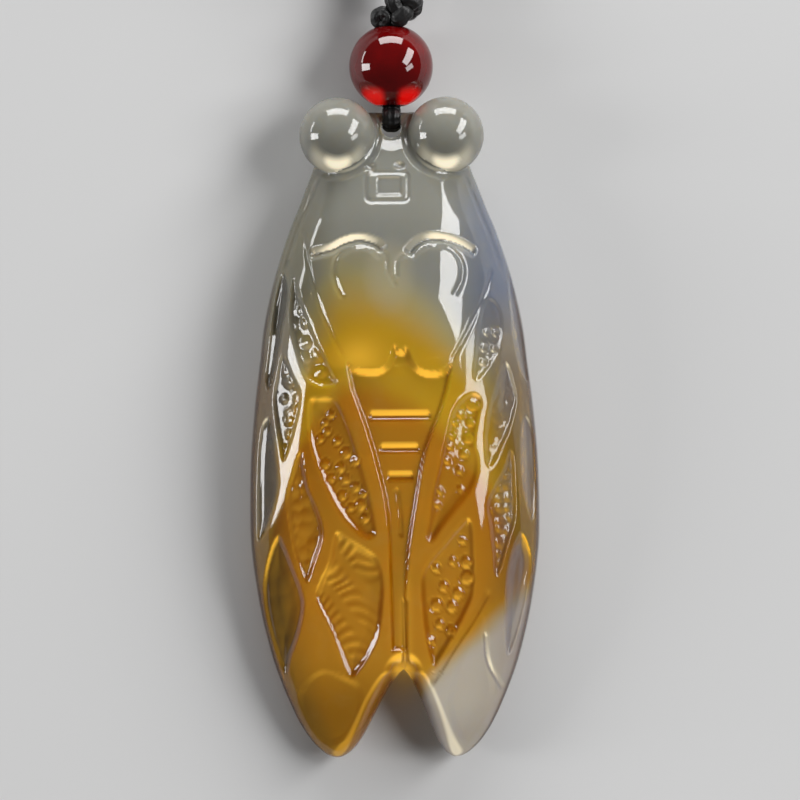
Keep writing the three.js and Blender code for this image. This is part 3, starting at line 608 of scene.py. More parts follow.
# Middle of each drilled stud and its radius
LEFT_STUDS = [
    [-5.25, 1.15, 0.35], [-5.7, 0.5, 0.3], [-5.55, -0.2, 0.35], [-6.1, -0.8, 0.35], [-4.0, -2, 0.45],
    [-5.7, -2.9, 0.4], [-3.25, -2.7, 0.38], [-4.45, -3.2, 0.4], [-4.05, -4.15, 0.42], [-5.2, -4.1, 0.36],
    [-3.25, -4.8, 0.4], [-2.6, -5.4, 0.3], [-4.3, -5.5, 0.4], [-2.8, -6.3, 0.45], [-2.5, -7.4, 0.38],
    [-3.6, -6.5, 0.35], [-4.7, -1, 0.35],
]
RIGHT_STUDS = [
    [7.8, 7.85, 0.35], [8.5, 7.8, 0.35], [7.55, 6.55, 0.4], [8.35, 6.5, 0.35], [7.45, 5.4, 0.37],
    [6.55, 1.9, 0.55], [6.3, 0.4, 0.4], [6.1, -0.9, 0.45], [5.75, -2.15, 0.4], [5.4, -3.5, 0.35],
    [5.45, -5.05, 0.3], [4.8, -0.65, 0.3], [4.65, -1.55, 0.3], [4.4, -2.7, 0.3], [3.8, -5.2, 0.3],
    [3.55, -6.3, 0.3], [5.55, 1.1, 0.35], [5.05, 0.4, 0.3],
    [5.85, -11.1, 0.47], [4.75, -11, 0.35], [5.9, -12.4, 0.55], [4, -13.1, 0.42], [5.2, -13.7, 0.5],
    [3.4, -14.65, 0.52], [4.7, -14.8, 0.48], [3.65, -16.25, 0.38], [4.55, -16.8, 0.42], [5.6, -9.3, 0.35],
    [3.4, -11.6, 0.35], [3, -17.6, 0.35],
]


# %% [markdown]
# Smooth cells are gouged round. The others are sunk flat and keep small domes of stone, which an
# engraver leaves by drilling round them with a hollow bit. No two domes are alike, so their places are
# shaken out of a square lattice by a formula that looks random and is the same in every run.

# %% How a cell is cut
CELL_DEPTH, SHALLOW_DEPTH, WAVE_HEIGHT, WAVE_LENGTH = 0.45, 0.08, 0.03, 0.98
STUD_HEIGHT, RING_DEPTH = 0.13, 0.07


def closed_line(points, apart=3, each=5):
    """The smooth line through points and back to the first, each steps to a span of it."""
    round_twice = np.array([*points[-apart:], *points, *points[:apart]])
    knots = run_of(round_twice, 0.5)
    where = np.linspace(knots[apart], knots[apart + len(points)], each * len(points), endpoint=False)
    return curve(knots, round_twice, where)


def shaken(i, j, salt):
    """A number from 0 to 1 that seems random: the far digits of a sine."""
    return np.sin(i * 12.99 + j * 78.23 + salt * 37.7) * 4375.85 % 1


def pebbles(x, y, pitch):
    """The highest of the domes 1 - (r / R) ** 2 round the nine nearest places of a shaken lattice."""
    i, j, made = np.floor(x / pitch), np.floor(y / pitch), np.zeros_like(x)
    for a in (-1, 0, 1):
        for b in (-1, 0, 1):
            middle_x = (i + a + 0.25 + 0.5 * shaken(i + a, j + b, 1)) * pitch
            middle_y = (j + b + 0.25 + 0.5 * shaken(i + a, j + b, 2)) * pitch
            radius = (0.38 + 0.22 * shaken(i + a, j + b, 3)) * pitch
            made = np.maximum(made, 1 - ((x - middle_x) ** 2 + (y - middle_y) ** 2) / radius**2)
    return made


def cell_depth(x, y, outline, finish, pitch=1.0, height=0.1, lean=0.0):
    """How deep one cell is cut at each point, by its finish; lean makes the floor deeper to the right."""
    depth = inside(x, y, closed_line(outline))
    if finish == "gouged":
        return CELL_DEPTH * (0.55 * ramp(depth, -0.04, 0.16) + 0.9 * smooth(depth, -0.05, 0.65))
    if finish == "shallow":
        return SHALLOW_DEPTH * ramp(depth, -0.1, 0.45)
    wall = smooth(depth, -0.14, 0.44) if finish in ("studs", "waves") else ramp(depth, -0.06, 0.26)
    sunk = CELL_DEPTH * (0.8 * wall + 0.3 * smooth(depth, 0.2, 1.2))
    sunk = sunk + lean * (x - np.mean(outline, 0)[0]) * ramp(depth, 0, 0.3)
    kept = smooth(depth, 0.16, 0.4)
    if finish == "studs":
        return sunk
    if finish == "faint":
        return 0.5 * sunk
    if finish == "waves":
        rising = y - 0.8 * np.minimum(x + 3.2, 0) + 0.12 * np.sin(2.3 * x) + 0.1 * np.sin(3.1 * y + x)
        arched = y + 0.3 * (x + 3.3) ** 2
        level = rising + (arched - rising) * smooth(-y, 12.6, 13.8)
        wave = np.cos(2 * np.pi * level / WAVE_LENGTH)
        return sunk - WAVE_HEIGHT * kept * (1 + wave) * smooth(np.sin(2.1 * x + 1.6 * y), -1, 0)
    return sunk - height * kept * pebbles(x, y, pitch)


def studs_height(x, y, studs):
    """Cushions 1 - ratio ** 4 that the hollow bit leaves, each with the bit's fine ring round it."""
    made = np.zeros_like(x)
    for middle_x, middle_y, radius in studs:
        ratio = np.hypot(x - middle_x, y - middle_y) / radius
        made = made + STUD_HEIGHT * np.clip(1 - ratio**4, 0, 1)
        made = made - RING_DEPTH * np.exp(-(((ratio - 1.12) / 0.16) ** 2))
    return made


# %% [markdown]
# The body lies lower than the wings and the thorax shield, which fold over it, so the whole region
# between their edges is taken down with a soft wall. Grooves with one wide wall give the collar and the
# belly's rings: the wide wall faces the tips, where the finish paints the glow of light that has gone
# through the stone.

# %% Grooves, plate and abdomen
LEFT_WING_EDGE = [
    [-3.75, 5.2], [-3.45, 3.2], [-2.45, 0.4], [-1.7, -2.1], [-1.2, -4.1], [-0.75, -6.2], [-0.5, -9.4],
    [-0.4, -13.8], [-0.3, -18.4],
]
RIGHT_WING_EDGE = [
    [4.8, 5.2], [4.4, 3], [3.65, 0.8], [2.9, -1.1], [2.35, -3], [1.95, -5.2], [1.6, -7.3], [1.15, -10.3],
    [0.85, -14.4], [0.9, -18.4],
]
SHIELD_EDGE = [
    [-3.9, 5.6], [-3.2, 5.1], [-2.3, 4.9], [-1.3, 4.9], [-0.65, 5.3], [-0.3, 6], [-0.1, 6.7], [0.2, 6.9],
    [0.6, 6.45], [0.95, 6.75], [1.3, 6.5], [1.65, 5.6], [2.2, 4.95], [2.9, 4.7], [3.8, 4.75], [4.9, 5.4],
]
ABDOMEN_DEPTH = 0.5
# Line, depth, width of the wall on its left (towards the head where it runs to +X) and on its right
GROOVES = [
    [[[-6.8, 14.3], [-5, 14.7], [-3.95, 15.2], [-2.7, 15.45], [-1.45, 15.1], [-0.75, 14.5]], 0.6, 0.7, 0.42],
    [[[1.2, 14.2], [2.1, 15.1], [3.1, 15.5], [4.4, 15.4], [5.6, 15], [6.85, 14.3]], 0.6, 0.7, 0.42],
    [[[-0.85, 14.6], [-0.5, 14.1], [-0.35, 12.9], [0.2, 11.7]], 0.12, 0.35, 0.3],
    [[[0.35, 12.4], [0.4, 13.6], [0.75, 14.15], [1.3, 14.3]], 0.12, 0.35, 0.3],
    [[[-0.9, 13.9], [-1.7, 14.7], [-2.8, 15], [-3.9, 14.7], [-4.6, 14.1], [-4.85, 13], [-4.6, 11.8],
      [-4, 10.6]], 0.16, 0.36, 0.36],
    [[[1.5, 13.9], [2.2, 14.6], [3.2, 15.05], [4.3, 14.95], [5.2, 14.4], [5.75, 13.4], [5.65, 12.1],
      [4.95, 10.75]], 0.16, 0.36, 0.36],
    [[[-8.1, 17.4], [-7.3, 15.8], [-7, 13.9], [-6.1, 10.4], [-4.7, 7], [-3.95, 5.6]], 0.08, 0.25, 0.25],
    [[[4.7, 5.4], [5.95, 7.6], [6.6, 8.9], [7.35, 10.5], [7.8, 11.6], [8.25, 13.2]], 0.14, 0.22, 0.3],
    [[[-2.1, 1], [3.1, 1]], 0.34, 0.5, 0.35],
    [[[-1.2, -1.7], [2.1, -1.7]], 0.34, 0.5, 0.35],
    [[[-0.6, -4], [1.6, -4]], 0.3, 0.46, 0.35],
    [[[0.8, -14], [0.78, -20.6]], 0.4, 0.35, 0.3],
    [[[0.15, -4.9], [0.45, -7], [0.5, -9]], 0.14, 0.3, 0.3],
    [[[7.9, -13.5], [7.2, -14.7], [6.25, -16.3], [5.2, -17.8], [3, -21.3]], 0.16, 0.18, 0.5],
    [[[7.35, -17], [7.6, -19.5], [8.8, -21.8]], 0.12, 0.4, 0.15],
]
PLATE = dict(middle=[-0.4, 19.95], half=[1.75, 1.2], corner=0.45)
WINDOW = dict(middle=[-0.25, 19.97], half=[1.1, 0.85], corner=0.3)
PLATE_LINE, WINDOW_DEPTH = 0.11, 0.17
PITS, PIT_DEPTH = [[-1.76, 21.6], [0.62, 21.7]], 0.28
COUNTERSINK, EYE_LINE, SHOULDER_LINE = 0.2, 0.25, 0.2
HOLE_Y, HOLE_RADIUS = 24.95, 0.85
EYES = [[-4.48, 24.3, 4.5], [4.48, 24.3, 4.5]]
EYE_RADIUS = 3.2


# %% [markdown]
# The plate on the face is a rectangle with round corners. All cuts are added up here, and the raised
# studs are taken off again.

# %% All cuts together


def box_depth(x, y, middle, half, corner):
    """How deep inside a rectangle with round corners a point lies: corner - |max(q, 0)| - min(max q, 0)."""
    a = np.abs(x - middle[0]) - half[0] + corner
    b = np.abs(y - middle[1]) - half[1] + corner
    return corner - np.hypot(np.maximum(a, 0), np.maximum(b, 0)) - np.minimum(np.maximum(a, b), 0)


def scored(gap, deep, flat, wide):
    """A scored line: deep up to flat from its middle, 0 from wide on, and smooth in between."""
    return deep * (1 - smooth(np.abs(gap), flat, wide))


def carving(x, y, outer, side):
    """All the cuts on one side of the front, in millimetres below the rounded form."""
    sides = SHIELD_EDGE, RIGHT_WING_EDGE[1:], LEFT_WING_EDGE[:0:-1]
    abdomen = np.concatenate([smooth_line(line, 40) for line in sides])
    from_shield = np.abs(beside(x, y, SHIELD_EDGE)[0])
    deep = ABDOMEN_DEPTH * np.minimum(ramp(inside(x, y, abdomen), -0.04, 0.2), ramp(from_shield, 0, 0.55))
    for line, depth, left, right in GROOVES:
        gap, share = beside(x, y, line)
        fade = smooth(np.minimum(share, 1 - share), -0.01, 0.06)
        deep = np.maximum(deep, 0) + groove(gap, depth, left, right) * fade
    for cell in RIGHT_CELLS if side > 0 else LEFT_CELLS:
        deep = deep + cell_depth(x, y, *cell)
    deep = deep - studs_height(x, y, RIGHT_STUDS if side > 0 else LEFT_STUDS)
    plate, window = box_depth(x, y, **PLATE), box_depth(x, y, **WINDOW)
    deep = deep + scored(plate, PLATE_LINE, 0.03, 0.28) + WINDOW_DEPTH * smooth(window, -0.05, 0.25)
    for pit_x, pit_y in PITS:
        deep = deep + scored(np.hypot(x - pit_x, (y - pit_y) * 1.3), PIT_DEPTH, 0.05, 0.6)
    from_hole = np.maximum(np.hypot(x, y - HOLE_Y) - HOLE_RADIUS, 0)
    from_eye = np.hypot(np.abs(x) - EYES[1][0], y - EYES[1][1]) - EYE_RADIUS
    deep = deep + scored(from_hole, COUNTERSINK, 0, 1.3) + scored(from_eye - 0.1, EYE_LINE, 0.05, 0.5)
    from_rim = np.abs(outer) - np.abs(x)
    shoulder = smooth(y, 12.5, 14) * (1 - smooth(y, 20, 21.5))
    return deep + shoulder * scored(from_rim - 0.75, SHOULDER_LINE, 0.02, 0.3)


# %% [markdown]
# The back is plainer, as the side that lies against the chest: six arcs for the rings of the back and
# one line along each wing.

# %% Carved back
BACK_WING_LINE = [[8.2, 14.5], [9.2, 6], [9.4, -4], [8, -14], [5.6, -21.5]]
BACK_GROOVE = dict(deep=0.3, left=0.6, right=0.6)
BACK_ARCS, BACK_ARC_PITCH, BACK_ARC_HALF = 6, 4, 5.2


def back_carving(x, y, side):
    """Grooves with the same wall on both sides, along the wing line and the six arcs."""
    deep = groove(beside(x, y, np.array(BACK_WING_LINE) * [side, 1])[0], **BACK_GROOVE)
    for k in range(BACK_ARCS):
        level, half = 5 - BACK_ARC_PITCH * k, BACK_ARC_HALF * (1 - 0.45 * k / (BACK_ARCS - 1))
        arc = [[-half, level + 1.4], [0, level], [half, level + 1.4]]
        deep = np.maximum(deep, groove(beside(x, y, arc)[0], **BACK_GROOVE))
    return deep


# %% [markdown]
# ## One closed mesh
#
# Front and back are grids over the same rows, so their outer rows of points coincide on the rim and can
# be welded. Rows crowd together where the form turns fastest, at the head and at the tips.

# %% Rows and columns
UPPER_ROWS, LOWER_ROWS, COLUMNS, COARSE = 312, 68, 100, 4


def body_rows():
    """y of every row; the powers 1.25 and 1.7 crowd the rows at the head and at the tips."""
    t, s = np.linspace(0, 1, UPPER_ROWS + 1), np.linspace(0, 1, LOWER_ROWS + 1)[1:]
    upper = HEAD_TOP + (NOTCH[1] - HEAD_TOP) * t**1.25
    lower = NOTCH[1] + (TIP[1] - NOTCH[1]) * (1 - (1 - s) ** 1.7)
    return np.concatenate([upper, lower])[:, None]


def half_grid(side, columns):
    """x over the rows: crowded to the rim, and below the notch to both edges."""
    y = body_rows()
    inner, outer, down = edges(y, side)
    t = np.linspace(0, 1, columns + 1)[None, :]
    one, both = 0.75 * t + 0.25 * np.sin(np.pi * t / 2), (t + (1 - np.cos(np.pi * t)) / 2) / 2
    x = inner + (outer - inner) * (one + (both - one) * smooth(down, 0, 0.3))
    shape = arch(x, y, inner, outer, down)
    return x, np.broadcast_to(y, x.shape), shape, np.broadcast_to(outer, x.shape)


# %% [markdown]
# The front carries the carving. The back can do with a quarter of the columns; only its first row keeps
# them all, and a fan of triangles joins it to the second row.

# %% Front and back


def arched_height(stations, y, shape):
    """From the rim's height to that of the middle line, by the share shape."""
    rim = at(RIM_HEIGHT, y)
    return rim + (at(stations, y) - rim) * shape


def front_surface(side):
    """The rounded front less its carving, which takes at most 0.45 of the stone's thickness."""
    x, y, shape, outer = half_grid(side, COLUMNS)
    raised = arched_height(FRONT_HEIGHT, y, shape)
    room = 0.45 * (raised - arched_height(BACK_HEIGHT, y, shape))
    cut = carving(x, y, outer, side)
    return np.stack([x, y, raised - np.minimum(cut, room) * smooth(shape, 0, 0.12)], -1)


def back_surface(side, columns):
    """The rounded back, nowhere below the table, with its grooves fading out before the rim."""
    x, y, shape, _ = half_grid(side, columns)
    flat = np.maximum(arched_height(BACK_HEIGHT, y, shape), 0)
    return np.stack([x, y, flat + back_carving(x, y, side) * smooth(shape, 0.1, 0.5)], -1)


def coarse_back(side):
    """The fine first row, then coarse rows, and the triangles between all of them."""
    first = back_surface(side, COLUMNS)[0]
    rest = back_surface(side, COLUMNS // COARSE)[1:]
    rows, columns = rest.shape[:2]
    faces = as_triangles(grid_faces(rows, columns)) + len(first)
    f, c = np.arange(columns - 1) * COARSE, len(first) + np.arange(columns - 1)
    fan = [[f, f + 1, c], [f + 1, f + 2, c], [c, f + 2, c + 1], [f + 2, f + 3, c + 1], [f + 3, f + 4, c + 1]]
    fan = np.concatenate([np.stack(corners, 1) for corners in fan])
    return np.concatenate([first, rest.reshape(-1, 3)]), np.concatenate([faces, fan])


def body_surface():
    """Left and right, front and back, welded; each grid's faces are turned outwards."""
    points, triangles, count = [], [], 0
    for side in (-1, 1):
        front = front_surface(side)
        faces = as_triangles(grid_faces(*front.shape[:2]))
        for grid, faces, turned in (front.reshape(-1, 3), faces, side < 0), (*coarse_back(side), side > 0):
            triangles.append((faces[:, ::-1] if turned else faces) + count)
            points.append(grid)
            count += len(grid)
    return weld(np.concatenate(points), np.concatenate(triangles))


body_points, body_triangles = body_surface()
print("body:", len(body_points), "points,", len(body_triangles), "triangles")

# %% [markdown]
# ## Eyes and hole
#
# The eyes are ground as spheres out of the same stone and the cord's hole is drilled through the head,
# with a straight tube. Joining and drilling closed meshes is what the Boolean modifier is for. Its
# result is made permanent, so that the finish can use what is measured on the final surface.

# %% Join the eyes, drill the hole
DRILL_DEPTHS = -2, 12


def sphere_surface(middle, radius, rings=36, around=64):
    """Rings of latitude with a pole at each end along Z; each pole is welded to one point."""
    p = np.linspace(0, np.pi, rings + 1)[:, None]
    a = np.linspace(0, 2 * np.pi, around, endpoint=False)[None, :]
    ball = np.stack([np.sin(p) * np.cos(a), np.sin(p) * np.sin(a), np.cos(p) + 0 * a], -1)
    faces = as_triangles(grid_faces(rings + 1, around, around=True))[:, ::-1]
    return weld(np.array(middle) + radius * ball.reshape(-1, 3), faces)


drill_line = np.array([[0, HOLE_Y, depth] for depth in DRILL_DEPTHS])
drill_points, (drill_wall, drill_lids), _ = tube(drill_line, SIDEWAYS, HOLE_RADIUS, HOLE_RADIUS, 64)
cicada = new_piece("carved_cicada", body_points, body_triangles)
tools = {new_piece(f"eye_{i}", *sphere_surface(eye, EYE_RADIUS)): "UNION" for i, eye in enumerate(EYES)}
tools[new_piece("drill", drill_points, as_triangles(drill_wall), drill_lids)] = "DIFFERENCE"
for tool, operation in tools.items():
    modifier = cicada.modifiers.new(tool.name, "BOOLEAN")
    modifier.operation, modifier.solver, modifier.object = operation, "EXACT", tool
shaped = bpy.data.meshes.new_from_object(cicada.evaluated_get(bpy.context.evaluated_depsgraph_get()))
cicada.modifiers.clear()
cicada.data = shaped
for tool in tools:
    bpy.data.objects.remove(tool)
shaped.shade_smooth()
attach(cicada, ROOT)
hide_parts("cicada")
print("cicada:", sum(len(face.vertices) - 2 for face in shaped.polygons), "triangles")

# %% [markdown]
# ## Measures for the finish
#
# Light that enters a translucent stone comes out again at the surfaces that look down towards the tips:
# the undersides of the eyes, the collar's wide walls and the shield's edge all glow in the pendant, and
# so do the thin places at the shield's left lobe, the seam between the wings and the notch. A render
# would need very many samples for that, so the glow is painted instead: its share is measured on the
# final surface, mostly as how well each point's normal lines up with one direction, and stored with the
# mesh, and the finish paints it into the stone's colour and emission.

# %% Attributes of the stone
GLOW_TOWARDS = np.array([0, -0.7, 0.714])
NOTCH_GLOW = 0.6


def point_values(mesh, name):
    """A vector of every vertex as an array with one row a vertex."""
    values = np.empty(len(mesh.vertices) * 3, np.float32)
    mesh.vertices.foreach_get(name, values)
    return values.reshape(-1, 3)


def store(mesh, name, values):
    """One number for every vertex, under a name that a finish can ask for."""
    mesh.attributes.new(name, "FLOAT", "POINT").data.foreach_set("value", values.astype(np.float32))


places, normals = point_values(shaped, "co") / MM, point_values(shaped, "normal")
across, along, high = places.T
outer = edges(np.clip(along, TIP[1] + 0.01, HEAD_TOP), np.where(across < 0, -1, 1))[1]
left_cut, right_cut = (carving(across, along, outer, side) for side in (-1, 1))
cut = np.clip(np.where(across < 0, left_cut, right_cut) / CELL_DEPTH, 0, 1) * smooth(high, 2.4, 3.4)
towards = normals @ GLOW_TOWARDS
on_wing = (along < 3) & ((np.abs(across - 0.5) > 2.8) | (along < -5))
sharp = 0.75 * smooth(towards, 0.86, 0.97) * (1 - 0.5 * on_wing * smooth(cut, 0.2, 0.6))
fade = np.where(across < NOTCH[0], 0.6 * smooth(-along, 18, 24), 0.4 * smooth(-along, 22, 26))
lit = (0.25 * smooth(towards, 0.55, 0.95) + sharp) * (1 - fade)

# %% Glow of the eyes, the lobe, the seam and the notch
from_eyes = [np.abs(np.linalg.norm(places - eye, axis=1) - EYE_RADIUS) for eye in EYES]
crescent = 0.3 * smooth(towards, 0.6, 0.95) + 0.7 * smooth(towards, 0.91, 0.985)
crescent = crescent * smooth(np.hypot(*normals[:, :2].T), 0.5, 0.75)
lit = np.where(np.min(from_eyes, axis=0) < 0.02, crescent, lit)

in_lobe = np.exp(-(((across + 2.9) / 1.8) ** 2 + ((along - 6) / 1.5) ** 2)) * smooth(along, 4.8, 5.2)
on_seam = np.exp(-(((across - 0.75) / 0.5) ** 2)) * smooth(-along, 10, 15)
lit = lit + (0.3 * in_lobe + 0.25 * on_seam) * smooth(normals[:, 2], 0.3, 0.8) * (1 - lit)
lit = np.maximum(lit, NOTCH_GLOW * (1 - smooth(np.hypot(across - NOTCH[0], along - NOTCH[1]), 0.4, 1.3)))
# The share of painted glow that the stone's finish reads
store(shaped, "lit", lit)
store(shaped, "rim", np.clip(np.abs(across / outer), 0, 1))
# How deep the outer cells are cut; the finish paints shade in them on the left and a paler grey on the right
store(shaped, "hollow", cut * (np.abs(across) > 5) * (along < 14))
print("lit share of the stone's points:", round(float(lit.mean()), 3))

# Share of the bead's painted glow: its lower half, where the normals face down towards the tips
bead_normals = point_values(bead.data, "normal")
bead_lit = np.maximum(bead_normals @ [0.32, -0.84, 0.44], bead_normals @ [-0.32, -0.84, 0.44])
store(bead.data, "lit", smooth(bead_lit, 0.86, 1.0))

# %% [markdown]
# ## Writing shaders as formulas
#
# A finish is a graph of nodes, and a graph is hard to read as code. A Wire stands for one output of a
# node and knows plain arithmetic, so a formula can be written as a formula.

# %% Wires


def maths(operation, reflected=False):
    """A method that makes a Math node from a Wire and any other value, in either order."""

    def method(wire, *others):
        values = (*others, wire) if reflected else (wire, *others)
        return wire.finish.node("Math", {"operation": operation}, dict(enumerate(values)))

    return method


class Wire:
    """An output socket that takes part in sums, products and powers, on either side of them."""

    def __init__(self, finish, socket):
        self.finish, self.socket = finish, socket

    __add__, __radd__ = maths("ADD"), maths("ADD", reflected=True)
    __sub__, __rsub__ = maths("SUBTRACT"), maths("SUBTRACT", reflected=True)
    __mul__, __rmul__ = maths("MULTIPLY"), maths("MULTIPLY", reflected=True)
    __truediv__, __rtruediv__ = maths("DIVIDE"), maths("DIVIDE", reflected=True)
    __pow__, __abs__, sine = maths("POWER"), maths("ABSOLUTE"), maths("SINE")
    at_least, at_most = maths("MAXIMUM"), maths("MINIMUM")


# %% [markdown]
# Every node comes from one method of Finish: its type and settings first, because settings decide which
# sockets there are, and then what goes into its sockets.

# %% Finishes


class Finish:
    """A Principled material, and the methods that add nodes to it."""

    def __init__(self, name):
        self.material = bpy.data.materials.new(name)
        self.material.use_nodes = True
        self.tree = self.material.node_tree
        self.surface = self.tree.nodes["Principled BSDF"]

    def fill(self, node, inputs):
        """A Wire is linked to its socket; any other value is written on it."""
        for name, value in inputs.items():
            if isinstance(value, Wire):
                self.tree.links.new(value.socket, node.inputs[name])
            else:
                node.inputs[name].default_value = value

    def node(self, kind, settings, inputs, output=0):
        """Adds any node: its settings, then its inputs, and the output that is wanted as a Wire."""
        made = self.tree.nodes.new("ShaderNode" + kind)
        for name, value in settings.items():
            setattr(made, name, value)
        self.fill(made, inputs)
        return Wire(self, made.outputs[output])

    def parts(self, vector, axes):
        return [self.node("SeparateXYZ", {}, {0: vector}, axis) for axis in axes]

    def millimetres(self):
        """The point on the object in millimetres."""
        return self.scaled(self.node("TexCoord", {}, {}, "Object"), 1 / MM)

    def measured(self, name):
        return self.node("Attribute", {"attribute_name": name}, {}, "Fac")

    def step(self, value, low, high):
        """0 at low, 1 at high, smooth in between; low may be the larger one."""
        ends = {"Value": value, "From Min": low, "From Max": high}
        return self.node("MapRange", {"interpolation_type": "SMOOTHSTEP"}, ends)

    def noise(self, place, period, detail=2.0):
        """Soft noise about 0, from -0.5 to 0.5, whose lumps are period millimetres wide."""
        return self.node("TexNoise", {}, {"Vector": place, "Scale": 1 / period, "Detail": detail}) - 0.5

    def mix(self, share, a, b):
        return self.node("Mix", {"data_type": "RGBA"}, {0: share, 6: a, 7: b}, 2)

    def scaled(self, vector, factor):
        return self.node("VectorMath", {"operation": "SCALE"}, {0: vector, "Scale": factor})

    def bump(self, height, distance):
        return self.node("Bump", {}, {"Height": height, "Distance": distance * MM, "Strength": 1.0})

    def set(self, **inputs):
        """Principled sockets by name, with _ for a space."""
        self.fill(self.surface, {name.replace("_", " "): value for name, value in inputs.items()})


def colour(red, green, blue):
    """Screen values from 0 to 255 as linear light: ((c + 0.055) / 1.055) ** 2.4 above 0.04045."""
    c = np.array([red, green, blue]) / 255
    light = np.where(c > 0.04045, ((c + 0.055) / 1.055) ** 2.4, c / 12.92)
    return (*light.tolist(), 1.0)


# %% [markdown]
# ## Ice agate
#
# The stone is agate that is clear as ice at the head and stained golden by iron lower down, which is
# why its colour follows the place in the stone and not the carving. The amber begins at an arched front
# that is highest a little left of the middle. The lower right corner stays clear. Both flanks are darker
# with painted shade, since there one looks along the stone and not through it, and a painted dark line
# of shade runs right along the rim of the wings. The deep cells of the left wing are darkened with
# painted shade too. Each layer below is a share and the colour that it lays over those before it.

# %% Colours of the stone
CLEAR, CLOUD = colour(150, 150, 141), colour(176, 164, 112)
GOLD, AMBER = colour(204, 160, 24), colour(178, 107, 0)
ICE_BLUE, ICE_GREEN = colour(102, 112, 136), colour(114, 108, 80)
FLANK_SHADE, RIM_SHADE_LINE = colour(112, 84, 34), colour(60, 28, 16)
HOLLOW_SHADE, PALE, CORNER = colour(50, 46, 34), colour(134, 132, 142), colour(180, 173, 170)
MILK, OLIVE = colour(196, 188, 160), colour(142, 98, 2)
GLOW_CREAM, GLOW_GOLD = colour(252, 242, 212), colour(250, 192, 62)
POLISHED = dict(Roughness=0.04, IOR=1.54, Specular_IOR_Level=0.5)


# %% Agate


def agate():
    stone = Finish("ice_agate")
    place = stone.millimetres()
    x, y = stone.parts(place, "XY")
    drift = 3.5 * stone.noise(place, 9)
    apart = x + 3.6 + drift
    right, left = apart.at_least(0.0), apart.at_most(0.0)
    warmth = (16.5 - 0.066 * right * right - 0.3 * left * left - y + drift) / 12

    corner = stone.step(y + 15 - 0.933 * (x - 8.5) + drift * 0.6, 2.2, -2.2) * stone.step(x, 0.6, 2.4)
    stained = 1 - corner
    warm = stone.step(warmth, 0, 1) * stained
    milk = stone.step(0.16 * (x + 0.3) ** 2 + 0.07 * (y - 12.5) ** 2, 1, 0)
    shoulder = stone.step(y, 4, 12) * stone.step(y, 23, 18)
    rim = stone.measured("rim")
    # Where the flanks get painted shade: near the rim, below the shoulders
    flank_shade = stone.step(rim + 0.09 * stone.step(x, 0, 3), 0.62, 0.95) * stone.step(y, 13, 2)
    # The deep outer cells: painted shade on the left wing, a paler grey on the right
    hollow = stone.measured("hollow") * stone.step(rim, 0.6, 0.85)
    tint = CLEAR
    for share, over in (
        (corner, CORNER),
        (stone.step(warm, 0.0, 0.35), CLOUD),
        (stone.step(warm, 0.2, 0.75), GOLD),
        (milk * 0.45, MILK),
        (stone.step(warmth, 0.97, 1.2) * stained, AMBER),
        (stone.step(y, -16, -25) * stained * 0.6, OLIVE),
        (shoulder * stone.step(x, 4, 8.5) * 0.85, ICE_BLUE),
        (shoulder * stone.step(x, -4, -8) * 0.7, ICE_GREEN),
        # Painted shade on the flanks
        (flank_shade * (1 - 0.75 * corner) * 0.8, FLANK_SHADE),
        # Painted shade in the deep cells of the left wing
        (hollow * stone.step(x, -2, -4) * 0.85, HOLLOW_SHADE),
        (hollow * stone.step(x, 7, 9) * 0.45, PALE),
        # A painted dark line of shade right at the rim of the wings
        (stone.step(rim, 0.95, 0.99) * stone.step(y, 16, 8) * 0.9, RIM_SHADE_LINE),
        (stone.step(stone.noise(place, 2.2, 4.0), 0.0, 0.35) * 0.12, CLOUD),
    ):
        tint = stone.mix(share, tint, over)

    # Painted glow: the share lit turns the colour towards cream or gold and adds emission, for light that
    # leaves the stone
    lit = stone.measured("lit")
    glow = stone.mix(stone.step(warm, 0.1, 0.75), GLOW_CREAM, GLOW_GOLD)
    stone.set(
        Base_Color=stone.mix(lit * 0.75, tint, glow),
        Emission_Color=stone.scaled(glow, lit),
        Emission_Strength=0.75,
        **POLISHED,
        Transmission_Weight=0.4,
        Subsurface_Weight=0.6,
        Subsurface_Radius=(1.0, 0.7, 0.4),
        Subsurface_Scale=2.5 * MM,
    )
    return stone.material


# %% [markdown]
# ## Carnelian
#
# Carnelian is the red kind of the same stone. The bead is so deep a red that only its lower half, where
# light that went in at the top comes out, glows; this glow is painted into its colour and emission, and
# left out of the middle, where the two cords inside would keep it dark.

# %% Carnelian
CARNELIAN, CARNELIAN_GLOW = colour(86, 3, 4), colour(225, 10, 6)


def carnelian():
    stone = Finish("carnelian")
    place = stone.millimetres()
    (x,) = stone.parts(place, "X")
    # Painted glow, kept out of the middle where the cords inside would shade it
    lit = stone.measured("lit") * stone.step(abs(x), 0.25, 1.0)
    veil = stone.step(stone.noise(place, 2.5, 3.0), -0.1, 0.3) * 0.25
    stone.set(
        Base_Color=stone.mix(lit * 0.8 + veil * 0.3, CARNELIAN, CARNELIAN_GLOW),
        Emission_Color=stone.scaled(CARNELIAN_GLOW[:3], lit),
        Emission_Strength=0.5,
        **POLISHED,
        Transmission_Weight=0.1,
    )
    return stone.material


# %% [markdown]
# ## Waxed cord
#
# Waxed polyester cord is black, and the wax fills the braid, so it shines more than cloth does. The
# braid of the neck cord is fine enough for a bump: two waves cross along the cord, in its own UV, whose
# second coordinate is the length along the cord in millimetres.

# %% Waxed cord
BLACK, WAX = colour(14, 14, 15), colour(44, 42, 40)


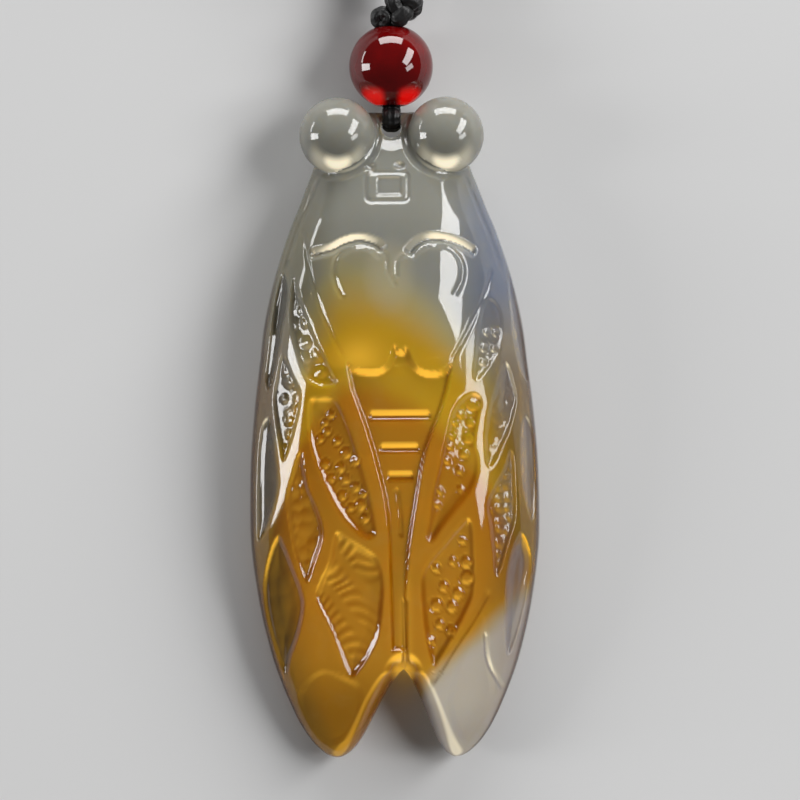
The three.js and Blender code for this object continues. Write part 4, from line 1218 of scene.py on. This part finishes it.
def waxed_cord():
    cord = Finish("waxed_cord")
    place = cord.millimetres()
    around, along = cord.parts(cord.node("UVMap", {"uv_map": "UVMap"}, {}), "XY")
    one_way, other_way = ((around * (8 * math.pi) + along * slant).sine() for slant in (7, -7))
    weave = one_way * other_way
    wax = cord.step(cord.noise(place, 0.35, 3.0), -0.05, 0.3)
    cord.set(
        Base_Color=cord.mix(wax * 0.5, BLACK, WAX),
        Roughness=0.5 - 0.22 * wax,
        Specular_IOR_Level=0.5,
        Normal=cord.bump(weave + cord.noise(place, 0.2) * 0.8, 0.05),
    )
    return cord.material


for finish, *pieces in (
    (agate(), cicada), (carnelian(), bead), (waxed_cord(), hanging_loop, cord_knot, neck_cord, coil_tie),
):
    for piece in pieces:
        piece.data.materials.append(finish)
    print("finished:", [piece.name for piece in pieces])

# %% [markdown]
# ## Floor and light
#
# Polished stone shows its lamps, so the lamps are part of its look. Five soft boxes are placed by the
# mirror rule: where the picture should have a highlight, the surface's normal is the middle between the
# way to the camera and the way to the box. The tall box on the right leans, because its picture on the
# thorax has to stand upright; the two narrow ones draw the thin bright veins of the wings.

# %% Studio
LAMPS = {  # middle in metres, width and height in metres, radiance, roll in degrees
    "top_box": ([0, 1.16, 0.27], [1.06, 0.48], 10, 0),
    "right_box": ([0.861, 0.465, 0.664], [0.36, 1.0], 11, 32),
    "right_strip": ([0.93, -0.066, 0.72], [0.24, 0.465], 8, 38),
    "left_box": ([-1.138, -0.004, 0.324], [0.3, 0.57], 12, 0),
    "left_strip": ([-1.11, 0.42, 0.054], [0.48, 0.09], 9, 0),
}
LAMPS_FACE = Vector((0, 0, 0.005))
ROOM_GREY = 0.07


def soft_box(name, middle, size, radiance, roll):
    """A lamp's power is its radiance times its area times pi; roll turns it about the way it faces."""
    data = bpy.data.lights.new(name, "AREA")
    data.shape = "RECTANGLE"
    data.size, data.size_y = size
    data.energy = radiance * size[0] * size[1] * math.pi
    lamp = bpy.data.objects.new(name, data)
    bpy.context.scene.collection.objects.link(lamp)
    lamp.location = middle
    facing = (LAMPS_FACE - Vector(middle)).to_track_quat("-Z", "Y")
    lamp.rotation_euler = (facing @ Quaternion((0, 0, 1), math.radians(roll))).to_euler()
    return lamp


def plain_world(grey):
    world = bpy.data.worlds.new("soft_room")
    world.use_nodes = True
    world.node_tree.nodes["Background"].inputs["Color"].default_value = (grey, grey, grey, 1)
    bpy.context.scene.world = world


def floor(size, grey):
    """A square of size millimetres, in a paint of one grey."""
    corners = np.array([[-1, -1, 0], [1, -1, 0], [1, 1, 0], [-1, 1, 0]]) * size / 2
    made = new_piece("studio_floor", corners, np.array([[0, 1, 2, 3]]))
    finish = Finish("floor_paint")
    finish.set(Base_Color=(grey, grey, grey, 1), Roughness=0.8)
    made.data.materials.append(finish.material)
    return made


plain_world(ROOM_GREY)
floor(4000, 0.62)
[soft_box(name, *lamp) for name, lamp in LAMPS.items()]
bpy.context.scene.view_settings.view_transform = "Standard"

# %% [markdown]
# ## Finish
#
# The view layer is brought up to date at the end.

# %% Finish
bpy.context.view_layer.update()
